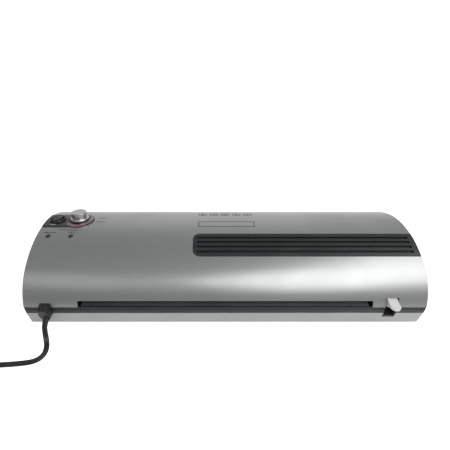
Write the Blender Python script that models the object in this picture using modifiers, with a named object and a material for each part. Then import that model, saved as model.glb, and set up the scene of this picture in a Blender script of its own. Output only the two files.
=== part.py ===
"""Pouch laminator: a two-roller desktop machine, modelled as an assembly of separate pieces.

Axes: X runs along the rollers, -Y is the rear where pouches leave, +Y is the feed side, +Z is up.
Case coordinates, used below, measure y forward from the case's rear edge and z up from the case's
lower edge. The world origin is at the middle of the footprint, on the table.
"""

from math import asin, atan2, ceil, cos, hypot, pi, radians, sin

import bmesh
import bpy
from mathutils import Matrix, Vector

MM = 0.001

# Overall sizes
BODY_LENGTH = 460 * MM
CASE_DEPTH = 168 * MM
CASE_HEIGHT = 20.4 * MM
FOOT_HEIGHT = 3.5 * MM
LEVER_REACH = 7 * MM          # how far the lever's tab stands out behind the case
GAP = 0.3 * MM                # clearance between pieces that touch
RUNNING_GAP = 0.6 * MM        # clearance round pieces that move

# Cover section: rear shoulder, crown and front lip, each an arc with its tangent's slope
COVER_REAR_Y = 1.8 * MM
COVER_BASE_Z = 29.3 * MM
REAR_SLOPE = radians(63)
SHOULDER_RADIUS = 65.3 * MM
SHOULDER_SLOPE = radians(22.6)
CROWN_END_INSET = 5.31 * MM   # from the case's front edge back to where the crown meets the lip
CROWN_END_Z = 33.5 * MM
LIP_RADIUS = 6 * MM
LIP_SLOPE = radians(-84)
ARC_STEP = radians(6.5)
WALL = 2.4 * MM
EDGE_ROUND = 1.0 * MM
CASE_EDGE_ROUND = 2 * MM

# Film path
FILM_WIDTH = 330 * MM
SLOT_WIDTH = FILM_WIDTH + 6 * MM
EXIT_SLOT_TOP = 36 * MM
FEED_SLOT_TOP = 40 * MM
BAND_INSET = 0.8 * MM         # how far the black band sits inside the case's edge
BAND_END_INSET = 0.6 * MM
BAND_RIM = 3.2 * MM
BAND_RIDGE = 5 * MM           # height of the band's proud lower part
BAND_RECESS = 0.7 * MM
NIP_Z = 32.6 * MM
GUIDE_THICKNESS = 1.6 * MM
GUIDE_OUTER_Z = 28.8 * MM
GUIDE_INNER_Z = 30.0 * MM
GUIDE_LIP = 7 * MM
GUIDE_RIB = 0.4 * MM
GUIDE_RIBS = 9
GUIDE_RIB_WIDTH = 1 * MM

# Rollers and their frame
ROLLER_Y = 92 * MM
ROLLER_RADIUS = 12 * MM
ROLLER_CORE_RADIUS = 4 * MM
JOURNAL_RADIUS = 3 * MM
PLATE_X = FILM_WIDTH / 2 + 11.5 * MM      # inner face of each side plate
PLATE_THICKNESS = 1.5 * MM
PLATE_TOP = 63 * MM
LIFT_SLOT_TOP = 60.2 * MM
PLATE_FOOT = 11 * MM
PLATE_SCREW_Y = (30 * MM, 54 * MM)
BUSH_RADIUS = 5.5 * MM
BLOCK_WIDTH = 12 * MM
ARM_THICKNESS = 2.0 * MM
SHOE_WALL = 2.4 * MM
THERMOSTAT_X = -60 * MM
THERMOSTAT_RADIUS = 6 * MM
THERMOSTAT_HEIGHT = 3.4 * MM
TIE_ROD_RADIUS = 3 * MM
TIE_RODS = {"tie_rod_rear": (34 * MM, 12 * MM), "tie_rod_front": (122 * MM, 10 * MM)}

# Drive
GEAR_TEETH = 16
MOTOR_TEETH = 10
GEAR_MODULE = 2 * ROLLER_RADIUS / GEAR_TEETH      # the gears run at the rollers' spacing
GEAR_WIDTH = 5 * MM
GEAR_X = PLATE_X + 4.5 * MM
TOOTH_SHARE = 0.38            # tooth thickness over pitch, at the pitch circle
MOTOR_LENGTH = 20 * MM
MOTOR_SHAFT_RADIUS = 2.2 * MM
MOTOR_CLEARANCE = 0.4 * MM    # between the motor and its bracket's foot
MOTOR_ANGLE = radians(25)     # from the lower roller's axis up to the motor's axis
BRACKET_X = GEAR_X + GEAR_WIDTH + 2.5 * MM
BRACKET_THICKNESS = 1.2 * MM
BRACKET_REACH = 18 * MM

# Release lever
RELEASE_Y = 62 * MM
RELEASE_Z = 43 * MM
RELEASE_RADIUS = 3 * MM
RELEASE_SWING = radians(16)
CAM_OFFSET = 3.8 * MM
CAM_RADIUS = 8.1 * MM
LEVER_LEFT = PLATE_X + 7.5 * MM
LEVER_WIDTH = 11 * MM
LEVER_WEB = 3.4 * MM
LEVER_TOP = 37.6 * MM
TAB_THICKNESS = 3 * MM
WEB_DEPTH = 7.5 * MM
HUB_RADIUS = 6.5 * MM
LEVER_SLOT = (LEVER_LEFT - 1.2 * MM, LEVER_LEFT + LEVER_WIDTH + 2 * MM)
LEVER_SLOT_TOP = 38.9 * MM
LEVER_SLOT_BOTTOM = 12.5 * MM
POCKET_WALL = 1.4 * MM
POCKET_FLOOR_Y = 17 * MM      # where the pocket's floor starts to rise under the lever's web
POCKET_FRONT_Y = 25 * MM
POCKET_RISE = 0.69            # rise of the sloping floor over its run

# Controls
LEFT_END = -BODY_LENGTH / 2
KNOB_X = LEFT_END + 43 * MM
KNOB_Y = 113 * MM
KNOB_RADIUS = 9.6 * MM
KNOB_HEIGHT = 10.5 * MM
KNOB_SKIRT_RADIUS = 12.2 * MM
SWITCH_X = LEFT_END + 15.5 * MM
SWITCH_Y = 110.5 * MM
SWITCH_RADIUS = 10 * MM
SWITCH_BARREL_RADIUS = SWITCH_RADIUS - 1.2 * MM
ROCKER_RADIUS = 7.6 * MM
ROCKER_HINGE = 2.6 * MM       # height of the rocker's hinge over the cover
ROCKER_TILT = radians(8)      # tilt at rest, with the left half pressed
PANEL_Y = (94.5 * MM, 127 * MM)
PANEL_END_RADIUS = 19.5 * MM
PANEL_THICKNESS = 0.8 * MM
HOLE_REACH = 16 * MM          # length of the tools that drill holes through the cover
LED_RADIUS = 2.4 * MM
LED_Y = 77 * MM
LED_X = {"power_led": LEFT_END + 15 * MM, "ready_led": LEFT_END + 42.7 * MM}

# Vent insert
VENT_LEFT = -37.4 * MM
VENT_Y = (48 * MM, 81 * MM)
VENT_CORNER = 8 * MM
VENT_THICKNESS = 3.6 * MM
VENT_DROP = 0.2 * MM          # how far the insert sits below the cover's surface
VENT_GROOVES = 4
VENT_GROOVE_WIDTH = 3.2 * MM
VENT_GROOVE_DEPTH = 1.6 * MM
VENT_FRAME = 4.5 * MM
VENT_FLANGE = 3 * MM
VENT_FLANGE_THICKNESS = 1.4 * MM

# Slots in the floor of the bottom case
FLOOR_VENTS = 8
FLOOR_VENT_LENGTH = 24 * MM
FLOOR_VENT_Y = (62 * MM, 66 * MM)

# Feet and fasteners
FOOT_RADIUS = 7 * MM
FOOT_INSET = 25 * MM
FOOT_Y = (18 * MM, CASE_DEPTH - 18 * MM)
CASE_SCREW_INSET = 9 * MM
CASE_SCREW_Y = (14.5 * MM, CASE_DEPTH - 22 * MM)
BOSS_RADIUS = 4 * MM
BOSS_BORE_TOP = 24 * MM
SCREW_RADIUS = 1.5 * MM
SCREW_HEAD_RADIUS = 3 * MM
SCREW_HEAD_HEIGHT = 1.6 * MM
CASE_SCREW_TOP = 20 * MM

# Electrics in the left bay
BOARD_X = (LEFT_END + 6 * MM, LEFT_END + 48 * MM)
BOARD_Y = (34 * MM, 92 * MM)
BOARD_THICKNESS = 1.6 * MM
BOARD_POST = 4 * MM           # height of the posts that hold the board off the case
POST_INSET = 4 * MM
TERMINALS = 3
TERMINAL_PITCH = 8 * MM

# Mains lead: gland, flat twin flex, stored coil and plug
CORD_X = -205 * MM
CORD_THICKNESS = 4 * MM
GLAND_NECK = 11.8 * MM
GLAND_HEAD = 14.8 * MM
GLAND_NOTCH = (CORD_X - GLAND_NECK / 2 - 0.5 * MM, CORD_X + GLAND_NECK / 2 + 0.5 * MM)
GLAND_NOTCH_Y = (-5 * MM, 8 * MM)
GLAND_BASE = 18 * MM          # lower end of the gland's seat
GLAND_TOP = 33.6 * MM
COIL_CENTRE = (-318 * MM, -90.2 * MM)
COIL_INNER = 20.4 * MM
COIL_OUTER = 47.1 * MM
COIL_HEIGHT = 8.6 * MM
LEAD_RADIUS = 43.8 * MM       # where the lead's last turn leaves the coil for the plug
LEAD_ANGLE = radians(165)
LEAD_LENGTH = 31 * MM         # from there to the plug's back
PLUG_NECK = 6.6 * MM
PLUG_LENGTH = 36 * MM
PLUG_WIDTH = 26 * MM
PLUG_HEIGHT = 14 * MM
PIN_RADIUS = 2.0 * MM
PIN_LENGTH = 19 * MM
PIN_SPACING = 19 * MM
CORD_FLOOR = CORD_THICKNESS / 2 + 0.1 * MM
# The lead's route in world coordinates: down from the gland, round on the table, off to the coil
CORD_ROUTE = [
    (-206.2 * MM, -93.5 * MM, 15.0 * MM),
    (-206.0 * MM, -97.0 * MM, 10.0 * MM),
    (-205.0 * MM, -101.0 * MM, 5.6 * MM),
    (-203.4 * MM, -106.2 * MM, CORD_FLOOR + 0.4 * MM),
    (-201.8 * MM, -112.0 * MM, CORD_FLOOR),
    (-201.8 * MM, -118.0 * MM, CORD_FLOOR),
    (-204.5 * MM, -123.2 * MM, CORD_FLOOR),
    (-209.5 * MM, -126.6 * MM, CORD_FLOOR),
    (-216.0 * MM, -128.4 * MM, CORD_FLOOR),
    (-224.0 * MM, -129.5 * MM, CORD_FLOOR),
    (-234.0 * MM, -130.4 * MM, CORD_FLOOR),
    (-245.0 * MM, -131.1 * MM, CORD_FLOOR),
    (-257.0 * MM, -131.7 * MM, CORD_FLOOR),
    (-269.0 * MM, -132.1 * MM, CORD_FLOOR),
    (-281.0 * MM, -132.2 * MM, CORD_FLOOR),
    (-292.4 * MM, -132.2 * MM, CORD_FLOOR),
]

# Where case coordinates start in the world
REAR_Y = -(CASE_DEPTH - LEVER_REACH) / 2
HALF = BODY_LENGTH / 2


def at(x, y, z):
    """World place of a point given in case coordinates."""
    return Vector((x, REAR_Y + y, FOOT_HEIGHT + z))


# Scene set-up

def clear_scene():
    for obj in list(bpy.data.objects):
        bpy.data.objects.remove(obj, do_unlink=True)


clear_scene()
PARTS = bpy.data.collections.new("pouch_laminator")
CUTTERS = bpy.data.collections.new("cutters")
bpy.context.scene.collection.children.link(PARTS)
bpy.context.scene.collection.children.link(CUTTERS)


def material(name, colour, roughness, metallic=0.0):
    """A Principled material made once and then shared by name."""
    found = bpy.data.materials.get(name)
    if found:
        return found
    made = bpy.data.materials.new(name)
    made.use_nodes = True
    shader = made.node_tree.nodes["Principled BSDF"]
    shader.inputs["Base Color"].default_value = (*colour, 1)
    shader.inputs["Roughness"].default_value = roughness
    shader.inputs["Metallic"].default_value = metallic
    return made


def silver_paint():
    return material("silver_paint", (0.42, 0.42, 0.41), 0.38, 0.6)


def black_plastic():
    return material("black_plastic", (0.02, 0.02, 0.022), 0.5)


def zinc_steel():
    return material("zinc_steel", (0.55, 0.56, 0.57), 0.35, 1.0)


def silicone():
    return material("silicone", (0.55, 0.12, 0.05), 0.7)


def white_plastic():
    return material("white_plastic", (0.8, 0.8, 0.77), 0.4)


def aluminium():
    return material("aluminium", (0.7, 0.7, 0.7), 0.4, 1.0)


def brass():
    return material("brass", (0.7, 0.5, 0.2), 0.35, 1.0)


def finish_part(obj, name, surface, smooth=35):
    """Name a piece, put it in the model's collection and give it its finish."""
    obj.name = name
    obj.data.name = name
    move_to(obj, PARTS)
    obj.data.materials.clear()
    obj.data.materials.append(surface)
    if obj.type == "MESH":
        obj.data.shade_smooth()
        obj.data.set_sharp_from_angle(angle=radians(smooth))
    return obj


def move_to(obj, collection):
    for home in list(obj.users_collection):
        home.objects.unlink(obj)
    collection.objects.link(obj)


def as_tool(obj):
    """Turn a shape into a hidden operand of a Boolean."""
    move_to(obj, CUTTERS)
    obj.hide_render = True
    obj.display_type = "WIRE"
    return obj


def boolean(target, tool, operation):
    step = target.modifiers.new(tool.name, "BOOLEAN")
    step.operation = operation
    step.solver = "EXACT"
    step.object = as_tool(tool)


def cut(target, *tools):
    for tool in tools:
        boolean(target, tool, "DIFFERENCE")


def fuse(target, *tools):
    for tool in tools:
        boolean(target, tool, "UNION")


# Shape helpers

ALONG_X = Matrix(((0, 0, 1), (1, 0, 0), (0, 1, 0))).to_4x4()
CASE_PLACE = Matrix.Translation(at(0, 0, 0))


def flat_solid(name, points, low, high, turn=None):
    """An outline of (a, b) points extruded from low to high; turn places its axes a, b and c."""
    curve = bpy.data.curves.new(name, "CURVE")
    curve.dimensions = "2D"
    curve.fill_mode = "BOTH"
    curve.extrude = (high - low) / 2
    spline = curve.splines.new("POLY")
    spline.points.add(len(points) - 1)
    for point, (a, b) in zip(spline.points, points):
        point.co = (a, b, 0, 1)
    spline.use_cyclic_u = True
    draft = bpy.data.objects.new(name, curve)
    PARTS.objects.link(draft)
    draft.matrix_world = (turn or Matrix()) @ Matrix.Translation((0, 0, (low + high) / 2))
    return meshed(draft, name)


def meshed(draft, name):
    """A curve object made a closed mesh at the same place."""
    bpy.context.view_layer.update()
    graph = bpy.context.evaluated_depsgraph_get()
    mesh = bpy.data.meshes.new_from_object(draft.evaluated_get(graph))
    solid = bpy.data.objects.new(name, mesh)
    PARTS.objects.link(solid)
    solid.matrix_world = draft.matrix_world.copy()
    bpy.data.objects.remove(draft, do_unlink=True)
    edit = bmesh.new()
    edit.from_mesh(mesh)
    bmesh.ops.remove_doubles(edit, verts=edit.verts, dist=1e-6)
    bmesh.ops.dissolve_limit(edit, angle_limit=radians(0.1), verts=edit.verts, edges=edit.edges)
    bmesh.ops.recalc_face_normals(edit, faces=edit.faces)
    edit.to_mesh(mesh)
    edit.free()
    return solid


def side_solid(name, outline, x_low, x_high):
    """An outline in the case's (y, z) plane, extruded along X."""
    return flat_solid(name, outline, x_low, x_high, CASE_PLACE @ ALONG_X)


def plan_solid(name, outline, z_low, z_high):
    """An outline in the case's (x, y) plane, extruded upward."""
    return flat_solid(name, outline, z_low, z_high, CASE_PLACE)


def box(name, x, y, z):
    """A box between pairs of case coordinates."""
    low, high = at(x[0], y[0], z[0]), at(x[1], y[1], z[1])
    bpy.ops.mesh.primitive_cube_add(size=1, location=(low + high) / 2)
    solid = bpy.context.object
    solid.name = name
    solid.scale = high - low
    bpy.ops.object.transform_apply(location=False, rotation=False, scale=True)
    return solid


def cylinder(name, place, axis, radius, length, sides=24):
    """A cylinder centred on a world place, along a direction."""
    bpy.ops.mesh.primitive_cylinder_add(vertices=sides, radius=radius, depth=length)
    solid = bpy.context.object
    solid.name = name
    solid.matrix_world = Matrix.Translation(place) @ Vector(axis).to_track_quat("Z", "X").to_matrix().to_4x4()
    return solid


def rod(name, x_low, x_high, y, z, radius, sides=24):
    """A cylinder along X between two planes, in case coordinates."""
    return cylinder(name, at((x_low + x_high) / 2, y, z), (1, 0, 0), radius, x_high - x_low, sides)


def turned(name, profile, place, axis, steps=24):
    """A turned solid: (radius, height) points that run down the outer side, turned about an axis."""
    closed = profile[0][0] > 0
    mesh = bpy.data.meshes.new(name)
    edges = [(i, i + 1) for i in range(len(profile) - 1)]
    if closed:
        edges.append((len(profile) - 1, 0))
    mesh.from_pydata([(radius, 0, height) for radius, height in profile], edges, [])
    solid = bpy.data.objects.new(name, mesh)
    PARTS.objects.link(solid)
    solid.matrix_world = Matrix.Translation(place) @ Vector(axis).to_track_quat("Z", "X").to_matrix().to_4x4()
    lathe = solid.modifiers.new("lathe", "SCREW")
    lathe.angle = 2 * pi
    lathe.steps = steps
    lathe.render_steps = steps
    lathe.use_merge_vertices = True
    lathe.merge_threshold = 1e-6
    return solid


def bevel_where(obj, width, segments, chosen):
    """Round the edges of a plain mesh that a test on their two world ends picks."""
    place = obj.matrix_world
    edit = bmesh.new()
    edit.from_mesh(obj.data)
    edges = [e for e in edit.edges if chosen(*(place @ v.co for v in e.verts))]
    bmesh.ops.bevel(edit, geom=edges, offset=width, segments=segments, profile=0.5, affect="EDGES")
    edit.to_mesh(obj.data)
    edit.free()


def arc(centre, radius, start, end, steps):
    """Points on an arc, angles in radians from the first axis."""
    turns = [start + (end - start) * i / steps for i in range(steps + 1)]
    return [(centre[0] + radius * cos(t), centre[1] + radius * sin(t)) for t in turns]


# The cover's section

def arc_centre(point, radius, slope):
    """Centre of an arc that passes through a (y, z) point with a slope there."""
    return (point[0] + radius * sin(slope), point[1] - radius * cos(slope))


def arc_point(centre, radius, slope):
    return (centre[0] - radius * sin(slope), centre[1] + radius * cos(slope))


def cover_arcs():
    """Centre, radius, first and last slope of each arc of the outer section, rear to front."""
    shoulder = arc_centre((COVER_REAR_Y, COVER_BASE_Z), SHOULDER_RADIUS, REAR_SLOPE)
    crown_start = arc_point(shoulder, SHOULDER_RADIUS, SHOULDER_SLOPE)
    run = CASE_DEPTH - CROWN_END_INSET - crown_start[0]
    rise = CROWN_END_Z - crown_start[1]
    front_slope = 2 * atan2(rise, run) - SHOULDER_SLOPE
    crown_radius = hypot(run, rise) / (2 * sin((SHOULDER_SLOPE - front_slope) / 2))
    crown = arc_centre(crown_start, crown_radius, SHOULDER_SLOPE)
    lip = arc_centre((CASE_DEPTH - CROWN_END_INSET, CROWN_END_Z), LIP_RADIUS, front_slope)
    return [(shoulder, SHOULDER_RADIUS, REAR_SLOPE, SHOULDER_SLOPE),
            (crown, crown_radius, SHOULDER_SLOPE, front_slope),
            (lip, LIP_RADIUS, front_slope, LIP_SLOPE)]


def cover_point(slope, offset=0.0):
    """Point of the cover's section where its tangent has a slope, moved outward by an offset."""
    for centre, radius, first, last in cover_arcs():
        if slope >= last - 1e-9:
            break
    return arc_point(centre, radius + offset, slope)


def cover_slope(y):
    """Slope of the cover's outer section at a depth y."""
    for centre, radius, first, last in cover_arcs():
        if y <= centre[0] - radius * sin(last):
            break
    return asin((centre[0] - y) / radius)


def cover_run(start, end, offset=0.0):
    """Section points between two slopes, keeping the joins between arcs."""
    stops = [start] + [last for _, _, _, last in cover_arcs() if end < last < start] + [end]
    points = []
    for a, b in zip(stops, stops[1:]):
        steps = max(1, ceil((a - b) / ARC_STEP))
        points += [cover_point(a + (b - a) * i / steps, offset) for i in range(steps)]
    return points + [cover_point(end, offset)]


def surface_frame(x, y):
    """World place and outward direction on the cover's outer surface."""
    slope = cover_slope(y)
    y_out, z_out = cover_point(slope)
    return at(x, y_out, z_out), Vector((0, -sin(slope), cos(slope)))


def surface_strip(name, x, y, offsets):
    """A strip that follows the cover between two depths, with a lower and an upper offset."""
    first, last = cover_slope(y[0]), cover_slope(y[1])
    outline = cover_run(first, last, offsets[0]) + cover_run(first, last, offsets[1])[::-1]
    return side_solid(name, outline, x[0], x[1])


def vent_outline(grow):
    """The vent opening seen from above, rounded at its left end, open past the right end."""
    left, right = VENT_LEFT - grow, HALF + 5 * MM
    rear, front = VENT_Y[0] - grow, VENT_Y[1] + grow
    radius = VENT_CORNER + grow
    rear_corner = arc((left + radius, rear + radius), radius, pi, 1.5 * pi, 4)
    front_corner = arc((left + radius, front - radius), radius, 0.5 * pi, pi, 4)
    return rear_corner + [(right, rear), (right, front)] + front_corner


def screw_places():
    return [(side * (HALF - CASE_SCREW_INSET), y) for side in (-1, 1) for y in CASE_SCREW_Y]


def boss_top(y):
    """Height at which a boss under the sloping cover ends, inside the wall on its low side."""
    low_side = -1 if cover_slope(y) > 0 else 1
    return cover_point(cover_slope(y + low_side * BOSS_RADIUS), -WALL / 3)[1]


# Casing

def top_cover():
    outer = cover_run(REAR_SLOPE, LIP_SLOPE)
    section = outer + [(outer[-1][0], COVER_BASE_Z)]
    cover = side_solid("top_cover", section, -HALF, HALF)
    floor = at(0, 0, COVER_BASE_Z).z + 1e-5

    def end_edge(a, b):
        on_end = min(abs(a.x), abs(b.x)) > HALF - 1e-6 and a.x * b.x > 0
        return on_end and max(a.z, b.z) > floor

    bevel_where(cover, EDGE_ROUND, 2, end_edge)
    inner = cover_run(REAR_SLOPE, LIP_SLOPE, -WALL)
    drop = COVER_BASE_Z - 10 * MM
    cavity = [(inner[0][0], drop)] + inner + [(inner[-1][0], drop)]
    cut(cover, side_solid("cover_cavity", cavity, -HALF + WALL, HALF - WALL))
    boss_floor = WALL + GAP
    for index, (x, y) in enumerate(screw_places()):
        wall_z = boss_top(y)
        middle = at(x, y, (boss_floor + wall_z) / 2)
        fuse(cover, cylinder(f"boss_{index}", middle, (0, 0, 1), BOSS_RADIUS, wall_z - boss_floor, 12))
    for index, (x, y) in enumerate(screw_places()):
        cut(cover, cylinder(f"boss_bore_{index}", at(x, y, BOSS_BORE_TOP / 2), (0, 0, 1),
                            SCREW_RADIUS + GAP, BOSS_BORE_TOP, 12))
    half_slot = SLOT_WIDTH / 2
    rear_y = (-10 * MM, 25 * MM)
    base = COVER_BASE_Z - 5 * MM
    cut(cover,
        box("exit_slot_cut", (-half_slot, half_slot), rear_y, (base, EXIT_SLOT_TOP)),
        box("feed_slot_cut", (-half_slot, half_slot), (CASE_DEPTH - 30 * MM, CASE_DEPTH + 5 * MM),
            (base, FEED_SLOT_TOP)),
        box("lever_slot_cut", LEVER_SLOT, rear_y, (base, LEVER_SLOT_TOP)),
        box("gland_notch", GLAND_NOTCH, GLAND_NOTCH_Y, (base, GLAND_TOP)),
        vent_window())
    cut_control_holes(cover)
    for name, x in LED_X.items():
        place, out = surface_frame(x, LED_Y)
        cut(cover, cylinder(name + "_hole", place, out, LED_RADIUS + GAP, HOLE_REACH, 12))
    finish_part(cover, "top_cover", silver_paint())


def cut_control_holes(skin):
    """Holes for the knob's shaft and the switch's barrel, through the cover or the overlay on it."""
    place, out = surface_frame(KNOB_X, KNOB_Y)
    cut(skin, cylinder(skin.name + "_knob_hole", place, out, JOURNAL_RADIUS + RUNNING_GAP, HOLE_REACH, 16))
    place, out = surface_frame(SWITCH_X, SWITCH_Y)
    cut(skin, cylinder(skin.name + "_switch_hole", place, out, SWITCH_BARREL_RADIUS + GAP, HOLE_REACH, 24))


def bottom_case():
    case = box("bottom_case", (-HALF, HALF), (0, CASE_DEPTH), (0, CASE_HEIGHT))
    top = at(0, 0, CASE_HEIGHT).z - 1e-6
    bevel_where(case, CASE_EDGE_ROUND, 2, lambda a, b: min(a.z, b.z) < top)
    cut(case, box("case_cavity", (-HALF + WALL, HALF - WALL), (WALL, CASE_DEPTH - WALL),
                  (WALL, CASE_HEIGHT + 5 * MM)))
    rear_wall = (-5 * MM, 8 * MM)
    cut(case,
        box("lever_recess_cut", LEVER_SLOT, rear_wall, (LEVER_SLOT_BOTTOM, CASE_HEIGHT + 5 * MM)),
        box("gland_case_notch", GLAND_NOTCH, GLAND_NOTCH_Y, (GLAND_BASE, CASE_HEIGHT + 5 * MM)))
    for index, (x, y) in enumerate(screw_places()):
        cut(case, cylinder(f"case_screw_hole_{index}", at(x, y, 0), (0, 0, 1),
                           SCREW_RADIUS + GAP, 12 * MM, 12))
    pitch = FILM_WIDTH / FLOOR_VENTS
    for index in range(FLOOR_VENTS):
        x = -FILM_WIDTH / 2 + (index + 0.5) * pitch
        cut(case, box(f"floor_vent_{index}", (x - FLOOR_VENT_LENGTH / 2, x + FLOOR_VENT_LENGTH / 2),
                      FLOOR_VENT_Y, (-5 * MM, 5 * MM)))
    finish_part(case, "bottom_case", silver_paint())


def pocket_outline(low, rear, front, top):
    """Side outline of the pocket under the lever's sweep: a level floor, then a rising one."""
    rise = POCKET_RISE * (front - POCKET_FLOOR_Y)
    return [(rear, low), (POCKET_FLOOR_Y, low), (front, low + rise), (front, top), (rear, top)]


def mid_frame():
    """The black band between the two shells, with the lever's gap and the gland's seat."""
    low, high = CASE_HEIGHT + GAP, COVER_BASE_Z - GAP
    rear, front = BAND_INSET, CASE_DEPTH - BAND_INSET
    end = HALF - BAND_END_INSET
    band = box("mid_frame", (-end, end), (rear, front), (low, high))
    ridge = low + BAND_RIDGE
    cut(band, box("band_recess", (-HALF, HALF), (rear - 5 * MM, rear + BAND_RECESS), (ridge, high + 1 * MM)))
    side_rim = BAND_END_INSET + BAND_RIM
    cut(band, box("band_cavity", (-HALF + side_rim, HALF - side_rim), (rear + BAND_RIM, front - BAND_RIM),
                  (low - 5 * MM, high + 5 * MM)))
    left, right = LEVER_SLOT
    pocket = pocket_outline(LEVER_SLOT_BOTTOM - POCKET_WALL, WALL + GAP, POCKET_FRONT_Y, high)
    room = pocket_outline(LEVER_SLOT_BOTTOM, -5 * MM, POCKET_FRONT_Y + 5 * MM, high + 5 * MM)
    fuse(band, side_solid("lever_pocket", pocket, left - POCKET_WALL, right + POCKET_WALL))
    cut(band,
        side_solid("pocket_inside", room, left, right),
        box("gland_band_cut", GLAND_NOTCH, GLAND_NOTCH_Y, (low - 1 * MM, high + 1 * MM)))
    finish_part(band, "mid_frame", black_plastic())


def guide_plate(name, y, z, lip):
    """A film guide: a sloped plate between two (y, z) edges, with a turned-down lip at its outer edge."""
    (y_out, y_in), (z_out, z_in) = y, z
    side = 1 if y_in > y_out else -1
    outline = [(y_out, z_out - lip), (y_out, z_out), (y_in, z_in), (y_in, z_in - GUIDE_THICKNESS),
               (y_out + side * GUIDE_THICKNESS, z_out - GUIDE_THICKNESS),
               (y_out + side * GUIDE_THICKNESS, z_out - lip)]
    guide = side_solid(name, outline, -FILM_WIDTH / 2, FILM_WIDTH / 2)
    inset = side * 4 * MM
    middle = GUIDE_THICKNESS / 2
    rib = [(y_out + inset, z_out - middle), (y_in - inset, z_in - middle),
           (y_in - inset, z_in + GUIDE_RIB), (y_out + 2 * inset, z_out + GUIDE_THICKNESS / 8 + GUIDE_RIB)]
    pitch = FILM_WIDTH / GUIDE_RIBS
    for index in range(GUIDE_RIBS):
        left = -FILM_WIDTH / 2 + (index + 0.5) * pitch - GUIDE_RIB_WIDTH / 2
        fuse(guide, side_solid(f"{name}_rib_{index}", rib, left, left + GUIDE_RIB_WIDTH))
    return guide


def film_guides():
    roller_edge = ROLLER_RADIUS + 1.5 * MM
    band_inner = BAND_INSET + BAND_RIM + GAP
    exit_guide = guide_plate("exit_guide", (band_inner, ROLLER_Y - roller_edge),
                             (GUIDE_OUTER_Z, GUIDE_INNER_Z), GUIDE_LIP)
    finish_part(exit_guide, "exit_guide", black_plastic())
    feed_guide = guide_plate("feed_guide", (CASE_DEPTH - band_inner, ROLLER_Y + roller_edge),
                             (GUIDE_OUTER_Z, GUIDE_INNER_Z), GUIDE_LIP)
    finish_part(feed_guide, "feed_guide", black_plastic())


def vent_window():
    """The room that the vent insert takes up in the cover, no deeper than the insert needs."""
    deep = -VENT_DROP - VENT_THICKNESS - GAP
    window = surface_strip("vent_window", (VENT_LEFT - 5 * MM, HALF + 5 * MM),
                           (VENT_Y[0] - 2 * MM, VENT_Y[1] + 2 * MM), (deep, 4 * MM))
    boolean(window, plan_solid("vent_window_shape", vent_outline(GAP), 40 * MM, 95 * MM), "INTERSECT")
    return window


def vent_insert():
    """Ribbed black insert that fills the opening in the cover, with a flange behind its edges."""
    top = -VENT_DROP
    body = surface_strip("vent_insert", (VENT_LEFT - 5 * MM, HALF), VENT_Y, (top - VENT_THICKNESS, top))
    boolean(body, plan_solid("vent_shape", vent_outline(0), 40 * MM, 95 * MM), "INTERSECT")
    flange_y = (VENT_Y[0] - VENT_FLANGE, VENT_Y[1] + VENT_FLANGE)
    flange_top = -WALL - GAP
    flange = surface_strip("vent_flange", (VENT_LEFT - VENT_FLANGE, HALF - WALL - GAP), flange_y,
                           (flange_top - VENT_FLANGE_THICKNESS, flange_top))
    fuse(body, flange)
    span = VENT_Y[1] - VENT_Y[0] - 2 * VENT_FRAME
    pitch = (span + VENT_GROOVE_WIDTH) / VENT_GROOVES
    for index in range(VENT_GROOVES):
        y = VENT_Y[0] + VENT_FRAME + index * pitch
        cut(body, surface_strip(f"vent_groove_{index}", (VENT_LEFT + VENT_FRAME, HALF - 7 * MM),
                                (y, y + VENT_GROOVE_WIDTH), (top - VENT_GROOVE_DEPTH, top + 2 * MM)))
    finish_part(body, "vent_insert", black_plastic())


def feet():
    for index, (side, y) in enumerate((s, y) for s in (-1, 1) for y in FOOT_Y):
        top = FOOT_HEIGHT - GAP
        profile = [(0, top), (FOOT_RADIUS, top), (FOOT_RADIUS, 0.8 * MM), (FOOT_RADIUS - 0.8 * MM, 0), (0, 0)]
        place = (side * (HALF - FOOT_INSET), REAR_Y + y, 0)
        foot = turned(f"foot_{index + 1}", profile, place, (0, 0, 1), 20)
        finish_part(foot, f"foot_{index + 1}", black_plastic())


def case_screws():
    """Screws that come up through the bottom case into the cover's bosses."""
    for index, (x, y) in enumerate(screw_places()):
        profile = [(0, CASE_SCREW_TOP), (SCREW_RADIUS, CASE_SCREW_TOP), (SCREW_RADIUS, -GAP),
                   (SCREW_HEAD_RADIUS, -GAP), (SCREW_HEAD_RADIUS, -SCREW_HEAD_HEIGHT),
                   (0, -SCREW_HEAD_HEIGHT)]
        screw = turned(f"case_screw_{index + 1}", profile, at(x, y, 0), (0, 0, 1), 12)
        finish_part(screw, f"case_screw_{index + 1}", zinc_steel())


# Controls on the cover

def control_panel():
    """The dark overlay, from the left end to a round end about the knob."""
    low, high = GAP, GAP + PANEL_THICKNESS
    panel = surface_strip("control_panel", (-HALF + 1.2 * MM, KNOB_X + PANEL_END_RADIUS + 2 * MM),
                          PANEL_Y, (low, high))
    rear, front = PANEL_Y
    middle = (rear + front) / 2
    reach = (front - rear) / 2
    round_end = [(KNOB_X + PANEL_END_RADIUS * sin(t), middle - reach * cos(t))
                 for t in (pi * i / 16 for i in range(17))]
    outline = [(-HALF - 1 * MM, rear)] + round_end + [(-HALF - 1 * MM, front)]
    boolean(panel, plan_solid("panel_shape", outline, 40 * MM, 95 * MM), "INTERSECT")
    cut_control_holes(panel)
    finish_part(panel, "control_panel", material("panel_print", (0.04, 0.045, 0.045), 0.3))


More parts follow.
